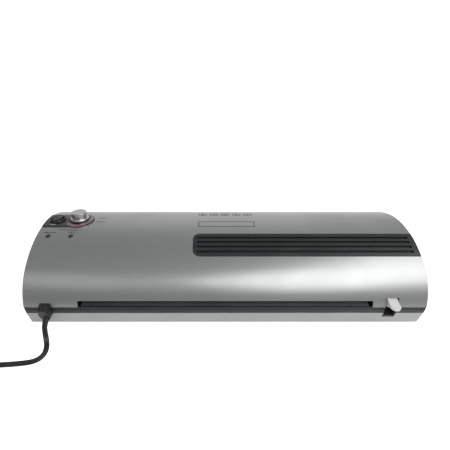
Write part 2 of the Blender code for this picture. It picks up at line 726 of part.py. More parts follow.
def temperature_control():
    place, out = surface_frame(KNOB_X, KNOB_Y)
    seat = GAP + PANEL_THICKNESS + GAP
    skirt = 1.6 * MM
    bore = JOURNAL_RADIUS + GAP
    top = seat + KNOB_HEIGHT
    profile = [(0, top), (KNOB_RADIUS - 1 * MM, top), (KNOB_RADIUS, top - 0.9 * MM),
               (KNOB_RADIUS - 0.5 * MM, seat + skirt), (KNOB_SKIRT_RADIUS - 0.5 * MM, seat + skirt),
               (KNOB_SKIRT_RADIUS, seat + skirt / 2), (KNOB_SKIRT_RADIUS, seat), (bore, seat),
               (bore, top - 2.5 * MM), (0, top - 2.5 * MM)]
    knob = turned("temperature_knob", profile, place, out, 32)
    finish_part(knob, "temperature_knob", aluminium())
    under = -WALL - 3 * GAP
    shaft_top = top - 2.5 * MM - GAP
    profile = [(0, shaft_top), (JOURNAL_RADIUS, shaft_top), (JOURNAL_RADIUS, under), (8 * MM, under),
               (8 * MM, under - 9 * MM), (0, under - 9 * MM)]
    control = turned("temperature_control", profile, place, out, 20)
    finish_part(control, "temperature_control", zinc_steel())


def power_switch():
    """A round rocker switch: a flanged housing through the panel, and the rocker in it."""
    place, out = surface_frame(SWITCH_X, SWITCH_Y)
    seat = GAP + PANEL_THICKNESS + GAP
    rim = seat + 1.8 * MM
    well = ROCKER_RADIUS + RUNNING_GAP
    well_floor = -7 * MM
    profile = [(0, well_floor), (well, well_floor), (well, rim), (SWITCH_RADIUS - 0.6 * MM, rim),
               (SWITCH_RADIUS, rim - 0.8 * MM), (SWITCH_RADIUS, seat), (SWITCH_BARREL_RADIUS, seat),
               (SWITCH_BARREL_RADIUS, well_floor - 7 * MM), (0, well_floor - 7 * MM)]
    housing = turned("switch_housing", profile, place, out, 28)
    finish_part(housing, "switch_housing", black_plastic())
    face, foot = rim + 0.9 * MM, rim - 4 * MM
    profile = [(0, face), (ROCKER_RADIUS - 1.2 * MM, face), (ROCKER_RADIUS - 0.7 * MM, face - 0.5 * MM),
               (ROCKER_RADIUS - 1.1 * MM, foot), (0, foot)]
    hinge = place + out * ROCKER_HINGE
    rocker = turned("power_rocker", [(r, h - ROCKER_HINGE) for r, h in profile], hinge, out, 24)
    tilt = Matrix.Rotation(-ROCKER_TILT, 4, Vector((0, out.z, -out.y)))
    rocker.matrix_world = (Matrix.Translation(hinge) @ tilt @ Matrix.Translation(-hinge)
                           @ rocker.matrix_world)
    finish_part(rocker, "power_rocker", black_plastic())


def leds():
    for name, x in LED_X.items():
        place, out = surface_frame(x, LED_Y)
        collar, back = -WALL - 1.6 * MM, -WALL - 3 * MM
        profile = [(0, 0.6 * MM), (LED_RADIUS * 0.6, 0.3 * MM), (LED_RADIUS, -0.4 * MM), (LED_RADIUS, collar),
                   (LED_RADIUS + 0.6 * MM, collar), (LED_RADIUS + 0.6 * MM, back), (0, back)]
        lens = turned(name, profile, place, out, 16)
        finish_part(lens, name, material("led_lens", (0.03, 0.03, 0.03), 0.15))


# Release mechanism

def release_lever():
    """Finger tab on a web that reaches forward to a hub on the release shaft."""
    web = LEVER_LEFT + LEVER_WEB
    web_low = LEVER_TOP - WEB_DEPTH
    tab_low = LEVER_TOP - TAB_THICKNESS
    hub_y, hub_edge = RELEASE_Y - 2 * MM, HUB_RADIUS - 0.5 * MM
    outline = [(-1.5 * MM, tab_low), (-0.5 * MM, tab_low - 1.5 * MM), (2 * MM, web_low), (16 * MM, web_low),
               (hub_y, RELEASE_Z - hub_edge), (RELEASE_Y, RELEASE_Z), (hub_y, RELEASE_Z + hub_edge),
               (24 * MM, LEVER_TOP + 3.4 * MM), (10 * MM, LEVER_TOP), (-1.5 * MM, LEVER_TOP)]
    lever = side_solid("release_lever", outline, LEVER_LEFT, web)
    right = LEVER_LEFT + LEVER_WIDTH
    fuse(lever, rod("lever_hub", LEVER_LEFT, right, RELEASE_Y, RELEASE_Z, HUB_RADIUS, 20))
    tip = -LEVER_REACH
    radius = LEVER_WIDTH * 0.36
    rear_left = arc((LEVER_LEFT + radius * 1.5, tip + radius * 1.5), radius * 1.5, pi, 1.5 * pi, 5)
    rear_right = arc((right - radius, tip + radius), radius, 1.5 * pi, 2 * pi, 4)
    outline = rear_left + rear_right + [(right, 15 * MM), (LEVER_LEFT, 15 * MM)]
    fuse(lever, plan_solid("lever_tab", outline, tab_low, LEVER_TOP))
    cut(lever, rod("lever_bore", LEVER_LEFT - 5 * MM, right + 5 * MM, RELEASE_Y, RELEASE_Z,
                   RELEASE_RADIUS + GAP, 20))
    finish_part(lever, "release_lever", white_plastic())
    shaft = rod("release_shaft", -PLATE_X - 6 * MM, right + 3 * MM, RELEASE_Y, RELEASE_Z, RELEASE_RADIUS, 20)
    finish_part(shaft, "release_shaft", zinc_steel())
    lobe_y = RELEASE_Y + CAM_OFFSET * cos(RELEASE_SWING / 2)
    lobe_z = RELEASE_Z - CAM_OFFSET * sin(RELEASE_SWING / 2)
    for name, side in (("release_cam_left", -1), ("release_cam_right", 1)):
        x_low, x_high = sorted((side * (PLATE_X - 7 * MM), side * (PLATE_X - 3 * MM)))
        cam = rod(name, x_low, x_high, lobe_y, lobe_z, CAM_RADIUS, 28)
        cut(cam, rod(name + "_bore", x_low - 5 * MM, x_high + 5 * MM, RELEASE_Y, RELEASE_Z,
                     RELEASE_RADIUS + GAP, 20))
        finish_part(cam, name, white_plastic())


# Roller frame

def lower_axis():
    return ROLLER_Y, NIP_Z - ROLLER_RADIUS - GAP / 2


def upper_axis():
    return ROLLER_Y, NIP_Z + ROLLER_RADIUS + GAP / 2


def motor_axis():
    y, z = lower_axis()
    centres = GEAR_MODULE * (GEAR_TEETH + MOTOR_TEETH) / 2 + GAP
    return y + centres * cos(MOTOR_ANGLE), z + centres * sin(MOTOR_ANGLE)


def side_plates():
    floor = WALL + GAP
    profile = [(20 * MM, floor), (132 * MM, floor), (132 * MM, 42 * MM), (112 * MM, 57 * MM),
               (100 * MM, PLATE_TOP), (84 * MM, PLATE_TOP), (50 * MM, 54 * MM), (20 * MM, 36 * MM)]
    slot = BLOCK_WIDTH / 2 + GAP
    _, lower_z = lower_axis()
    for name, side in (("side_plate_left", -1), ("side_plate_right", 1)):
        inner, outer = side * PLATE_X, side * (PLATE_X + PLATE_THICKNESS)
        plate = side_solid(name, profile, *sorted((inner, outer)))
        foot_y = (PLATE_SCREW_Y[0] - 6 * MM, PLATE_SCREW_Y[1] + 6 * MM)
        fuse(plate, box(name + "_foot", sorted((outer, inner - side * PLATE_FOOT)), foot_y,
                        (floor, floor + PLATE_THICKNESS)))
        past = sorted((inner - side * 3 * MM, outer + side * 3 * MM))
        cut(plate,
            rod(name + "_bush_hole", *past, ROLLER_Y, lower_z, BUSH_RADIUS + GAP, 24),
            rod(name + "_release_hole", *past, RELEASE_Y, RELEASE_Z, RELEASE_RADIUS + GAP, 20),
            box(name + "_lift_slot", past, (ROLLER_Y - slot, ROLLER_Y + slot), (36 * MM, LIFT_SLOT_TOP)))
        for y in PLATE_SCREW_Y:
            place = at(inner - side * PLATE_FOOT / 2, y, floor)
            cut(plate, cylinder(name + "_screw_hole", place, (0, 0, 1), SCREW_RADIUS + GAP, 9 * MM, 12))
        finish_part(plate, name, zinc_steel())


def frame_screws():
    low = WALL + GAP
    seat = low + PLATE_THICKNESS + GAP
    top = seat + SCREW_HEAD_HEIGHT
    x = PLATE_X - PLATE_FOOT / 2
    places = [(side * x, y) for side in (-1, 1) for y in PLATE_SCREW_Y]
    profile = [(0, top), (SCREW_HEAD_RADIUS, top), (SCREW_HEAD_RADIUS, seat), (SCREW_RADIUS, seat),
               (SCREW_RADIUS, low), (0, low)]
    for number, (x, y) in enumerate(places, 1):
        screw = turned(f"frame_screw_{number}", profile, at(x, y, 0), (0, 0, 1), 12)
        finish_part(screw, f"frame_screw_{number}", zinc_steel())


def tie_rods():
    end = PLATE_X - GAP
    for name, (y, z) in TIE_RODS.items():
        finish_part(rod(name, -end, end, y, z, TIE_ROD_RADIUS, 14), name, zinc_steel())


def roller(kind, y, z):
    """A silicone sleeve and the steel shaft it runs on."""
    half = FILM_WIDTH / 2
    inner = ROLLER_CORE_RADIUS + GAP
    chamfer = 0.6 * MM
    profile = [(inner, half), (ROLLER_RADIUS - chamfer, half), (ROLLER_RADIUS, half - chamfer),
               (ROLLER_RADIUS, -half + chamfer), (ROLLER_RADIUS - chamfer, -half), (inner, -half)]
    sleeve = turned(f"{kind}_roller", profile, at(0, y, z), (1, 0, 0), 32)
    finish_part(sleeve, f"{kind}_roller", silicone())
    shoulder = half + 3 * MM
    right, left = GEAR_X + GEAR_WIDTH + 1.5 * MM, -(PLATE_X + PLATE_THICKNESS + 4 * MM)
    core = turned(f"{kind}_shaft", [(0, right), (JOURNAL_RADIUS, right), (JOURNAL_RADIUS, shoulder),
                                    (ROLLER_CORE_RADIUS, shoulder), (ROLLER_CORE_RADIUS, -shoulder),
                                    (JOURNAL_RADIUS, -shoulder), (JOURNAL_RADIUS, left), (0, left)],
                  at(0, y, z), (1, 0, 0), 20)
    finish_part(core, f"{kind}_shaft", zinc_steel())


def lower_bushes():
    """Flanged plastic bushes that carry the lower roller in the side plates."""
    y, z = lower_axis()
    bore = JOURNAL_RADIUS + GAP
    for name, side in (("lower_bush_left", -1), ("lower_bush_right", 1)):
        outer_end, flange = PLATE_THICKNESS + 1 * MM, BUSH_RADIUS + 1.5 * MM
        profile = [(bore, outer_end), (BUSH_RADIUS, outer_end), (BUSH_RADIUS, -GAP), (flange, -GAP),
                   (flange, -1.8 * MM), (bore, -1.8 * MM)]
        bush = turned(name, profile, at(side * PLATE_X, y, z), (side, 0, 0), 20)
        finish_part(bush, name, white_plastic())


def bearing_blocks():
    """Blocks that slide in the side plates; a rear arm of each rests on its release cam."""
    y, z = upper_axis()
    cam_top = RELEASE_Z - CAM_OFFSET * sin(RELEASE_SWING / 2) + CAM_RADIUS
    arm_low = cam_top + GAP
    top = arm_low + ARM_THICKNESS
    half = BLOCK_WIDTH / 2
    for name, side in (("bearing_block_left", -1), ("bearing_block_right", 1)):
        inner = side * (PLATE_X - 3 * MM - GAP)
        block = box(name, sorted((inner, side * (PLATE_X + PLATE_THICKNESS + 1 * MM))),
                    (y - half, y + half), (z - half, top))
        arm_x = sorted((side * (PLATE_X - 7 * MM), side * (PLATE_X - GAP)))
        fuse(block, box(name + "_arm", arm_x, (RELEASE_Y - 3 * MM, y + half + 1.5 * MM), (arm_low, top)))
        past = sorted((side * (PLATE_X - 12 * MM), side * (PLATE_X + 12 * MM)))
        cut(block, rod(name + "_bore", *past, y, z, JOURNAL_RADIUS + GAP, 20))
        finish_part(block, name, white_plastic())
    return top


def pressure_springs(seat):
    """Compression springs between each block and the top of its slot."""
    wire = 0.5 * MM
    coil_radius = 2.8 * MM
    turns, per_turn = 4, 10
    low, high = seat + wire + GAP, LIFT_SLOT_TOP - wire - GAP
    for name, side in (("pressure_spring_left", -1), ("pressure_spring_right", 1)):
        curve = bpy.data.curves.new(name, "CURVE")
        curve.dimensions = "3D"
        curve.bevel_depth = wire
        curve.bevel_resolution = 2
        curve.use_fill_caps = True
        spline = curve.splines.new("POLY")
        count = turns * per_turn
        spline.points.add(count)
        for index, point in enumerate(spline.points):
            turn = 2 * pi * index / per_turn
            height = low + (high - low) * index / count
            middle = side * (PLATE_X + PLATE_THICKNESS / 2)
            place = at(middle + coil_radius * cos(turn), ROLLER_Y + coil_radius * sin(turn), height)
            point.co = (*place, 1)
        spring = bpy.data.objects.new(name, curve)
        PARTS.objects.link(spring)
        finish_part(spring, name, zinc_steel())


def heat_shoe(name, centre, start, end, ear_z):
    """A curved aluminium shoe that hugs a roller, with an ear at each end that reaches its carrier."""
    inner = ROLLER_RADIUS + RUNNING_GAP
    outline = arc(centre, inner + SHOE_WALL, start, end, 12) + arc(centre, inner, end, start, 12)
    half = FILM_WIDTH / 2 + 1 * MM
    shoe = side_solid(name, outline, -half, half)
    for side in (-1, 1):
        ear_x = sorted((side * (half - 6 * MM), side * (PLATE_X - GAP)))
        fuse(shoe, box(f"{name}_ear_{side + 1}", ear_x, (ROLLER_Y + 8.2 * MM, ROLLER_Y + 13.5 * MM), ear_z))
    finish_part(shoe, name, aluminium())


def heat_shoes():
    y, z = upper_axis()
    heat_shoe("upper_heat_shoe", (y, z), radians(30), radians(150), (z + 9.5 * MM, z + 12 * MM))
    seat = z + ROLLER_RADIUS + RUNNING_GAP + SHOE_WALL + GAP
    place = at(THERMOSTAT_X, y, seat + THERMOSTAT_HEIGHT / 2)
    thermostat = cylinder("thermostat", place, (0, 0, 1), THERMOSTAT_RADIUS, THERMOSTAT_HEIGHT, 20)
    finish_part(thermostat, "thermostat", brass())
    y, z = lower_axis()
    heat_shoe("lower_heat_shoe", (y, z), radians(210), radians(330), (z - 12 * MM, z - 9.5 * MM))


# Drive

def gear(name, teeth, y, z, phase, bore):
    """A spur gear along X. Its teeth taper from root to tip, and phase turns it to mesh."""
    pitch_radius = GEAR_MODULE * teeth / 2
    root, tip = pitch_radius - 1.15 * GEAR_MODULE, pitch_radius + 0.85 * GEAR_MODULE
    step = 2 * pi / teeth
    at_pitch = TOOTH_SHARE * step / 2
    at_root, at_tip = at_pitch * 1.55, at_pitch * 0.45
    outline = []
    for tooth in range(teeth):
        middle = phase + tooth * step
        for radius, spread in ((root, -at_root), (pitch_radius, -at_pitch), (tip, -at_tip),
                               (tip, at_tip), (pitch_radius, at_pitch), (root, at_root)):
            outline.append((y + radius * cos(middle + spread), z + radius * sin(middle + spread)))
    wheel = side_solid(name, outline, GEAR_X, GEAR_X + GEAR_WIDTH)
    cut(wheel, rod(name + "_bore", GEAR_X - 5 * MM, GEAR_X + GEAR_WIDTH + 5 * MM, y, z, bore, 20))
    finish_part(wheel, name, white_plastic())


def gears():
    """The upper gear meshes above the lower one, and the motor's pinion beside it."""
    bore = JOURNAL_RADIUS + GAP
    step = 2 * pi / GEAR_TEETH
    gear("lower_gear", GEAR_TEETH, *lower_axis(), pi / 2, bore)
    gear("upper_gear", GEAR_TEETH, *upper_axis(), -pi / 2 + step / 2, bore)
    toward = MOTOR_ANGLE
    lower_tooth = (toward - pi / 2) / step
    off = lower_tooth - round(lower_tooth)
    pinion_step = 2 * pi / MOTOR_TEETH
    phase = toward + pi + (off + 0.5) * pinion_step
    gear("motor_pinion", MOTOR_TEETH, *motor_axis(), phase, MOTOR_SHAFT_RADIUS + GAP)


def motor():
    y, z = motor_axis()
    floor = WALL + GAP
    radius = z - floor - BRACKET_THICKNESS - MOTOR_CLEARANCE
    shaft_left, body_left = GEAR_X - 1 * MM, BRACKET_X + BRACKET_THICKNESS + GAP
    body_right = body_left + MOTOR_LENGTH
    profile = [(0, body_right), (radius - 1 * MM, body_right), (radius, body_right - 1 * MM),
               (radius, body_left), (MOTOR_SHAFT_RADIUS, body_left), (MOTOR_SHAFT_RADIUS, shaft_left),
               (0, shaft_left)]
    finish_part(turned("motor", profile, at(0, y, z), (1, 0, 0), 32), "motor", zinc_steel())
    rear, front = y - BRACKET_REACH, y + BRACKET_REACH
    outline = [(rear, floor), (front, floor), (front, z + 14 * MM), (y + 10 * MM, z + 20 * MM),
               (y - 10 * MM, z + 20 * MM), (rear, z + 14 * MM)]
    bracket = side_solid("motor_bracket", outline, BRACKET_X, BRACKET_X + BRACKET_THICKNESS)
    fuse(bracket, box("bracket_foot", (BRACKET_X, body_right), (rear, front),
                      (floor, floor + BRACKET_THICKNESS)))
    cut(bracket, rod("bracket_bore", BRACKET_X - 5 * MM, BRACKET_X + 5 * MM, y, z, 4 * MM, 20))
    finish_part(bracket, "motor_bracket", zinc_steel())


# Electrics in the left bay

def electrics():
    floor = WALL + GAP
    board_low = floor + BOARD_POST
    left, right = BOARD_X
    rear, front = BOARD_Y
    board = box("control_board", BOARD_X, BOARD_Y, (board_low, board_low + BOARD_THICKNESS))
    for x in (left + POST_INSET, right - POST_INSET):
        for y in (rear + POST_INSET, front - POST_INSET):
            middle = at(x, y, floor + BOARD_POST / 2 + 0.2 * MM)
            fuse(board, cylinder("board_post", middle, (0, 0, 1), 2.5 * MM, BOARD_POST + 0.4 * MM, 12))
    finish_part(board, "control_board", material("board_green", (0.03, 0.18, 0.08), 0.5))
    top = board_low + BOARD_THICKNESS + GAP
    block_x = (left + 6 * MM, left + 6 * MM + TERMINALS * TERMINAL_PITCH)
    block = box("terminal_block", block_x, (rear + 4 * MM, rear + 14 * MM), (top, top + 12 * MM))
    for index in range(TERMINALS):
        place = at(block_x[0] + (index + 0.5) * TERMINAL_PITCH, rear + 9 * MM, top + 12 * MM)
        cut(block, cylinder("terminal_hole", place, (0, 0, 1), 2 * MM, 14 * MM, 12))
    finish_part(block, "terminal_block", white_plastic())
    relay = box("relay", (left + 12 * MM, left + 30 * MM), (front - 26 * MM, front - 10 * MM),
                (top, top + 14 * MM))
    bevel_where(relay, 0.8 * MM, 1, lambda a, b: True)
    finish_part(relay, "relay", material("relay_blue", (0.05, 0.12, 0.4), 0.4))


# Mains lead

def strain_relief():
    """Flared gland clamped between the shells, with a tapered nose turned down to the lead."""
    half_neck, half_head, half_foot = GLAND_NECK / 2, GLAND_HEAD / 2, 4.2 * MM
    top, foot = GLAND_TOP - 2 * GAP, GLAND_BASE - 2.5 * MM
    neck = box("strain_relief", (CORD_X - half_neck, CORD_X + half_neck), (-2 * MM, 7 * MM),
               (GLAND_BASE + 0.5 * MM, top))
    outline = [(-half_neck, top), (half_neck, top), (half_head, 27 * MM), (half_head, 22 * MM),
               (half_foot, foot), (-half_foot, foot), (-half_head, 22 * MM), (-half_head, 27 * MM)]
    upright = Matrix.Translation(at(CORD_X, -1.5 * MM, 0)) @ Matrix.Rotation(pi / 2, 4, "X")
    fuse(neck, flat_solid("gland_head", outline, -1.5 * MM, 8 * MM, upright))
    nose_end = Vector(CORD_ROUTE[0])
    start = at(CORD_X, -5.5 * MM, 21 * MM)
    along = (nose_end - start).normalized()
    length = (nose_end - start).length - GAP
    nose = cone("gland_nose", start + along * length / 2, along, 4.6 * MM, 3.0 * MM, length, 16)
    fuse(neck, nose)
    finish_part(neck, "strain_relief", black_plastic())


def cone(name, place, axis, radius, end_radius, length, sides):
    bpy.ops.mesh.primitive_cone_add(vertices=sides, radius1=radius, radius2=end_radius, depth=length)
    solid = bpy.context.object
    solid.name = name
    solid.matrix_world = Matrix.Translation(place) @ Vector(axis).to_track_quat("Z", "X").to_matrix().to_4x4()
    return solid


def smooth_route(points, per_span):
    """Points along a Catmull-Rom curve through a route."""
    route = [Vector(p) for p in points]
    route = [route[0] * 2 - route[1]] + route + [route[-1] * 2 - route[-2]]
    found = []
    for a, b, c, d in zip(route, route[1:], route[2:], route[3:]):
        for step in range(per_span):
            t = step / per_span
            found.append(0.5 * (2 * b + (c - a) * t + (2 * a - 5 * b + 4 * c - d) * t ** 2
                                + (3 * b - a - 3 * c + d) * t ** 3))
    return found + [route[-2]]


def power_cord():
    curve = bpy.data.curves.new("power_cord", "CURVE")
    curve.dimensions = "3D"
    curve.bevel_depth = CORD_THICKNESS / 2
    curve.bevel_resolution = 2
    curve.use_fill_caps = True
    points = smooth_route(CORD_ROUTE, 2)
    spline = curve.splines.new("POLY")
    spline.points.add(len(points) - 1)
    for point, place in zip(spline.points, points):
        point.co = (*place, 1)
    cord = bpy.data.objects.new("power_cord", curve)
    PARTS.objects.link(cord)
    finish_part(cord, "power_cord", black_plastic())


def cord_coil():
    x, y = COIL_CENTRE
    low = 0.1 * MM
    profile = [(COIL_INNER, COIL_HEIGHT), (COIL_OUTER, COIL_HEIGHT), (COIL_OUTER, low), (COIL_INNER, low)]
    coil = turned("cord_coil", profile, (x, y, 0), (0, 0, 1), 40)
    finish_part(coil, "cord_coil", black_plastic())


def mains_plug():
    """A flat two-pin plug beside the coil, in line with the lead that leaves the last turn."""
    low = 0.1 * MM
    half, waist, neck = PLUG_WIDTH / 2, 0.55 * PLUG_WIDTH / 2, PLUG_NECK / 2
    outline = [(-neck, -5.5 * MM), (neck, -5.5 * MM), (neck, 0), (waist, 0), (half, 0.4 * PLUG_LENGTH),
               (half, PLUG_LENGTH), (-half, PLUG_LENGTH), (-half, 0.4 * PLUG_LENGTH), (-waist, 0), (-neck, 0)]
    x, y = COIL_CENTRE
    leave = Vector((x + LEAD_RADIUS * cos(LEAD_ANGLE), y + LEAD_RADIUS * sin(LEAD_ANGLE), 0))
    turn = Matrix.Translation(leave) @ Matrix.Rotation(LEAD_ANGLE - pi, 4, "Z")
    plug = flat_solid("mains_plug", outline, low, low + PLUG_HEIGHT,
                      turn @ Matrix.Translation((0, LEAD_LENGTH, 0)))
    bevel_where(plug, 1.5 * MM, 2, lambda a, b: True)
    finish_part(plug, "mains_plug", black_plastic())
    front = LEAD_LENGTH + PLUG_LENGTH + GAP
    profile = [(0, PIN_LENGTH), (PIN_RADIUS - 0.8 * MM, PIN_LENGTH), (PIN_RADIUS, PIN_LENGTH - 1 * MM),
               (PIN_RADIUS, 0), (0, 0)]
    along = turn.to_3x3() @ Vector((0, 1, 0))
    for number, side in ((1, -1), (2, 1)):
        place = turn @ Vector((side * PIN_SPACING / 2, front, low + PLUG_HEIGHT / 2))
        finish_part(turned(f"plug_pin_{number}", profile, place, along, 16), f"plug_pin_{number}", brass())


def build():
    top_cover()
    bottom_case()
    mid_frame()
    film_guides()
    vent_insert()
    feet()
    case_screws()
    control_panel()
    temperature_control()
    power_switch()
    leds()
    release_lever()
    side_plates()
    frame_screws()
    tie_rods()
    roller("lower", *lower_axis())
    roller("upper", *upper_axis())
    lower_bushes()
    pressure_springs(bearing_blocks())
    heat_shoes()
    gears()
    motor()
    electrics()
    strain_relief()
    power_cord()
    cord_coil()
    mains_plug()


build()
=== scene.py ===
from math import asin, atan2, ceil, cos, hypot, pi, radians, sin

import bpy
from mathutils import Matrix, Vector


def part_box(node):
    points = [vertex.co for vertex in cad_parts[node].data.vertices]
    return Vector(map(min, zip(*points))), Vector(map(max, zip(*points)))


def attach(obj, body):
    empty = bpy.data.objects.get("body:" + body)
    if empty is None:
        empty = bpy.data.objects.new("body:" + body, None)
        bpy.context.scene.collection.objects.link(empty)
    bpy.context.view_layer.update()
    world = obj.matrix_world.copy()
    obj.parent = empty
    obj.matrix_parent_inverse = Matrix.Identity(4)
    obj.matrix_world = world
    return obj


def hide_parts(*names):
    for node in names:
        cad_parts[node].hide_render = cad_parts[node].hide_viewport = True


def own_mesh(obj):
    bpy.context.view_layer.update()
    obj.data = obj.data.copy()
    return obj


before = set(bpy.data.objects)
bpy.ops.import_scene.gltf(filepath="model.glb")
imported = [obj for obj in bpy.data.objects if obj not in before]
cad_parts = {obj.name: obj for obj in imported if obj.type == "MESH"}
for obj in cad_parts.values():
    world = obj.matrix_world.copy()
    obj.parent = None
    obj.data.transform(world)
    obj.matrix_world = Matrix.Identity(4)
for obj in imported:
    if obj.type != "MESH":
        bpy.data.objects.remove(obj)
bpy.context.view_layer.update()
mm = 0.001
hair = 0.01 * mm            # how near counts as the same place
scene = bpy.context.scene
print("frame loaded with", len(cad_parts), "nodes")

# the case gives the places that the rest is measured from
caseLow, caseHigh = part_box("bottom_case")
rearY, baseZ = caseLow.y, caseLow.z
halfLength = (caseHigh.x - caseLow.x) / 2
caseDepth = caseHigh.y - caseLow.y


def caseAt(x, y, z):
    # x from the middle, y forward from the case's rear edge, z up from its lower edge
    return Vector((x, rearY + y, baseZ + z))


def deselectAll():
    if bpy.context.object and bpy.context.object.mode != "OBJECT":
        bpy.ops.object.mode_set(mode="OBJECT")
    bpy.ops.object.select_all(action="DESELECT")


def makeActive(piece):
    deselectAll()
    piece.select_set(True)
    bpy.context.view_layer.objects.active = piece


def placeInMesh(piece):
    # the object goes to the origin, unturned, and its place goes into the mesh
    makeActive(piece)
    bpy.ops.object.transform_apply(location=True, rotation=True, scale=True)


def sizeNew(name, size, turn=0.0):
    # name the primitive that was just added, and give it its size
    made = bpy.context.object
    made.name = name
    made.scale = size
    made.rotation_euler.z += turn
    placeInMesh(made)
    return made


def editPiece(piece, mode="FACE"):
    makeActive(piece)
    bpy.ops.object.mode_set(mode="EDIT")
    bpy.ops.mesh.select_mode(type=mode)
    bpy.ops.mesh.select_all(action="DESELECT")
    bpy.ops.object.mode_set(mode="OBJECT")


def pickFaces(piece, test):
    # choose faces by a test on their middle and normal, then go back to edit mode
    editPiece(piece, "FACE")
    for face in piece.data.polygons:
        face.select = bool(test(face.center, face.normal))
    bpy.ops.object.mode_set(mode="EDIT")


def pickEdges(piece, test):
    # choose edges by a test on their two ends
    editPiece(piece, "EDGE")
    points = piece.data.vertices
    for edge in piece.data.edges:
        edge.select = bool(test(points[edge.vertices[0]].co, points[edge.vertices[1]].co))
    bpy.ops.object.mode_set(mode="EDIT")


def pickPoints(piece, test):
    editPiece(piece, "VERT")
    for point in piece.data.vertices:
        point.select = bool(test(point.co))
    bpy.ops.object.mode_set(mode="EDIT")


def leaveEdit():
    bpy.ops.object.mode_set(mode="OBJECT")


def roundPicked(width, segments):
    # round the chosen edges, and leave edit mode
    bpy.ops.mesh.bevel(offset=width, segments=segments, affect="EDGES")
    leaveEdit()


def applyModifier(piece, kind, **settings):
    makeActive(piece)
    bpy.ops.object.modifier_add(type=kind)
    step = piece.modifiers[-1]
    for key, value in settings.items():
        setattr(step, key, value)
    bpy.ops.object.modifier_apply(modifier=step.name)


def cutAway(piece, *tools, operation="DIFFERENCE"):
    for tool in tools:
        applyModifier(piece, "BOOLEAN", object=tool, operation=operation, solver="EXACT")
        bpy.data.objects.remove(tool)


def softenEdges(piece, width, segments=2, angle=35):
    applyModifier(piece, "BEVEL", width=width, segments=segments, limit_method="ANGLE",
                  angle_limit=radians(angle), use_clamp_overlap=True)


def smoothShading(piece, angle=35, weighted=True):
    makeActive(piece)
    bpy.ops.object.shade_smooth_by_angle(angle=radians(angle))
    if weighted:
        applyModifier(piece, "WEIGHTED_NORMAL", keep_sharp=True, weight=80)


def outwardNormals(piece):
    makeActive(piece)
    bpy.ops.object.mode_set(mode="EDIT")
    bpy.ops.mesh.select_all(action="SELECT")
    bpy.ops.mesh.remove_doubles(threshold=0.01 * mm)
    bpy.ops.mesh.normals_make_consistent(inside=False)
    leaveEdit()


def dressPiece(piece, name, body, slot, *finishes):
    piece.name = name
    piece.data.name = name
    piece.data.materials.clear()
    for finish in finishes:
        piece.data.materials.append(finish)
    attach(piece, body)
    return piece


def block(name, low, high):
    # a cutter's starting block between two corners
    deselectAll()
    bpy.ops.mesh.primitive_cube_add(size=1, location=(low + high) / 2)
    return sizeNew(name, high - low)


def barrel(name, place, out, radius, reach, sides=48):
    # a cutter's cylinder along a direction
    deselectAll()
    bpy.ops.mesh.primitive_cylinder_add(vertices=sides, radius=radius, depth=reach, location=place,
                                        rotation=Vector(out).to_track_quat("Z", "X").to_euler())
    return sizeNew(name, (1, 1, 1))


def standing(place, out):
    # the turn and move that stand a piece at a place, its own Z axis along a direction
    return Matrix.Translation(place) @ Vector(out).to_track_quat("Z", "X").to_matrix().to_4x4()


def moveInMesh(piece, move):
    piece.matrix_world = move
    placeInMesh(piece)


# camera

viewer = {
    "place": (-0.020, -0.2936, 0.3614),
    "downTurn": 43.0,
    "lens": 26.8,
    "sensor": 36,
    "shiftX": 0.0387,
    "nearest": 0.01,
}


def makeCamera():
    made = bpy.data.objects.new("viewCamera", bpy.data.cameras.new("viewCamera"))
    scene.collection.objects.link(made)
    turn = Matrix.Rotation(radians(90 - viewer["downTurn"]), 4, "X")
    made.matrix_world = Matrix.Translation(viewer["place"]) @ turn
    made.data.lens = viewer["lens"]
    made.data.sensor_width = viewer["sensor"]
    made.data.shift_x = viewer["shiftX"]
    made.data.clip_start = viewer["nearest"]
    scene.camera = made


makeCamera()
print("camera placed")

# mains lead: a flat twin flex

lead = {
    "width": 6.0 * mm,
    "strand": 1.9 * mm,          # radius of each of the two cores' sheaths
    "length": 1.5,
    "floor": 2.1 * mm,
    "coilPlace": (-318 * mm, -90.2 * mm),
    "coilRadius": 42 * mm,
    "turnPitch": 6.1 * mm,
    "layerRise": 4.0 * mm,
    "turnsPerLayer": 3,
    "endAngle": 165,
    "tailLength": 31 * mm,
    "plugDepth": 2 * mm,         # how far short of the tail's length the sheath stops
    "plugHeight": 7.1 * mm,
    "webShare": 0.75,            # the web's thickness against a strand's
    "pointsPerTurn": 72,
    "tailSteps": 8,
}

# out of the gland, down, round on the table and off to the coil
leadRoute = [
    (-0.2062, -0.0935, 0.0150),
    (-0.2060, -0.0970, 0.0100),
    (-0.2050, -0.1010, 0.0056),
    (-0.2034, -0.1062, 0.0025),
    (-0.2018, -0.1120, 0.0021),
    (-0.2018, -0.1180, 0.0021),
    (-0.2045, -0.1232, 0.0021),
    (-0.2095, -0.1266, 0.0021),
    (-0.2160, -0.1284, 0.0021),
    (-0.2240, -0.1295, 0.0021),
    (-0.2340, -0.1304, 0.0021),
    (-0.2450, -0.1311, 0.0021),
    (-0.2570, -0.1317, 0.0021),
    (-0.2690, -0.1321, 0.0021),
    (-0.2810, -0.1322, 0.0021),
    (-0.2924, -0.1322, 0.0021),
]


def smoothRoute(points, perSpan):
    # points along one smooth curve that passes through the route
    route = [Vector(p) for p in points]
    route = [route[0] * 2 - route[1]] + route + [route[-1] * 2 - route[-2]]
    found = []
    for a, b, c, d in zip(route, route[1:], route[2:], route[3:]):
        for step in range(perSpan):
            t = step / perSpan
            found.append(0.5 * (2 * b + (c - a) * t + (2 * a - 5 * b + 4 * c - d) * t ** 2
                                + (3 * b - a - 3 * c + d) * t ** 3))
    return found + [route[-2]]


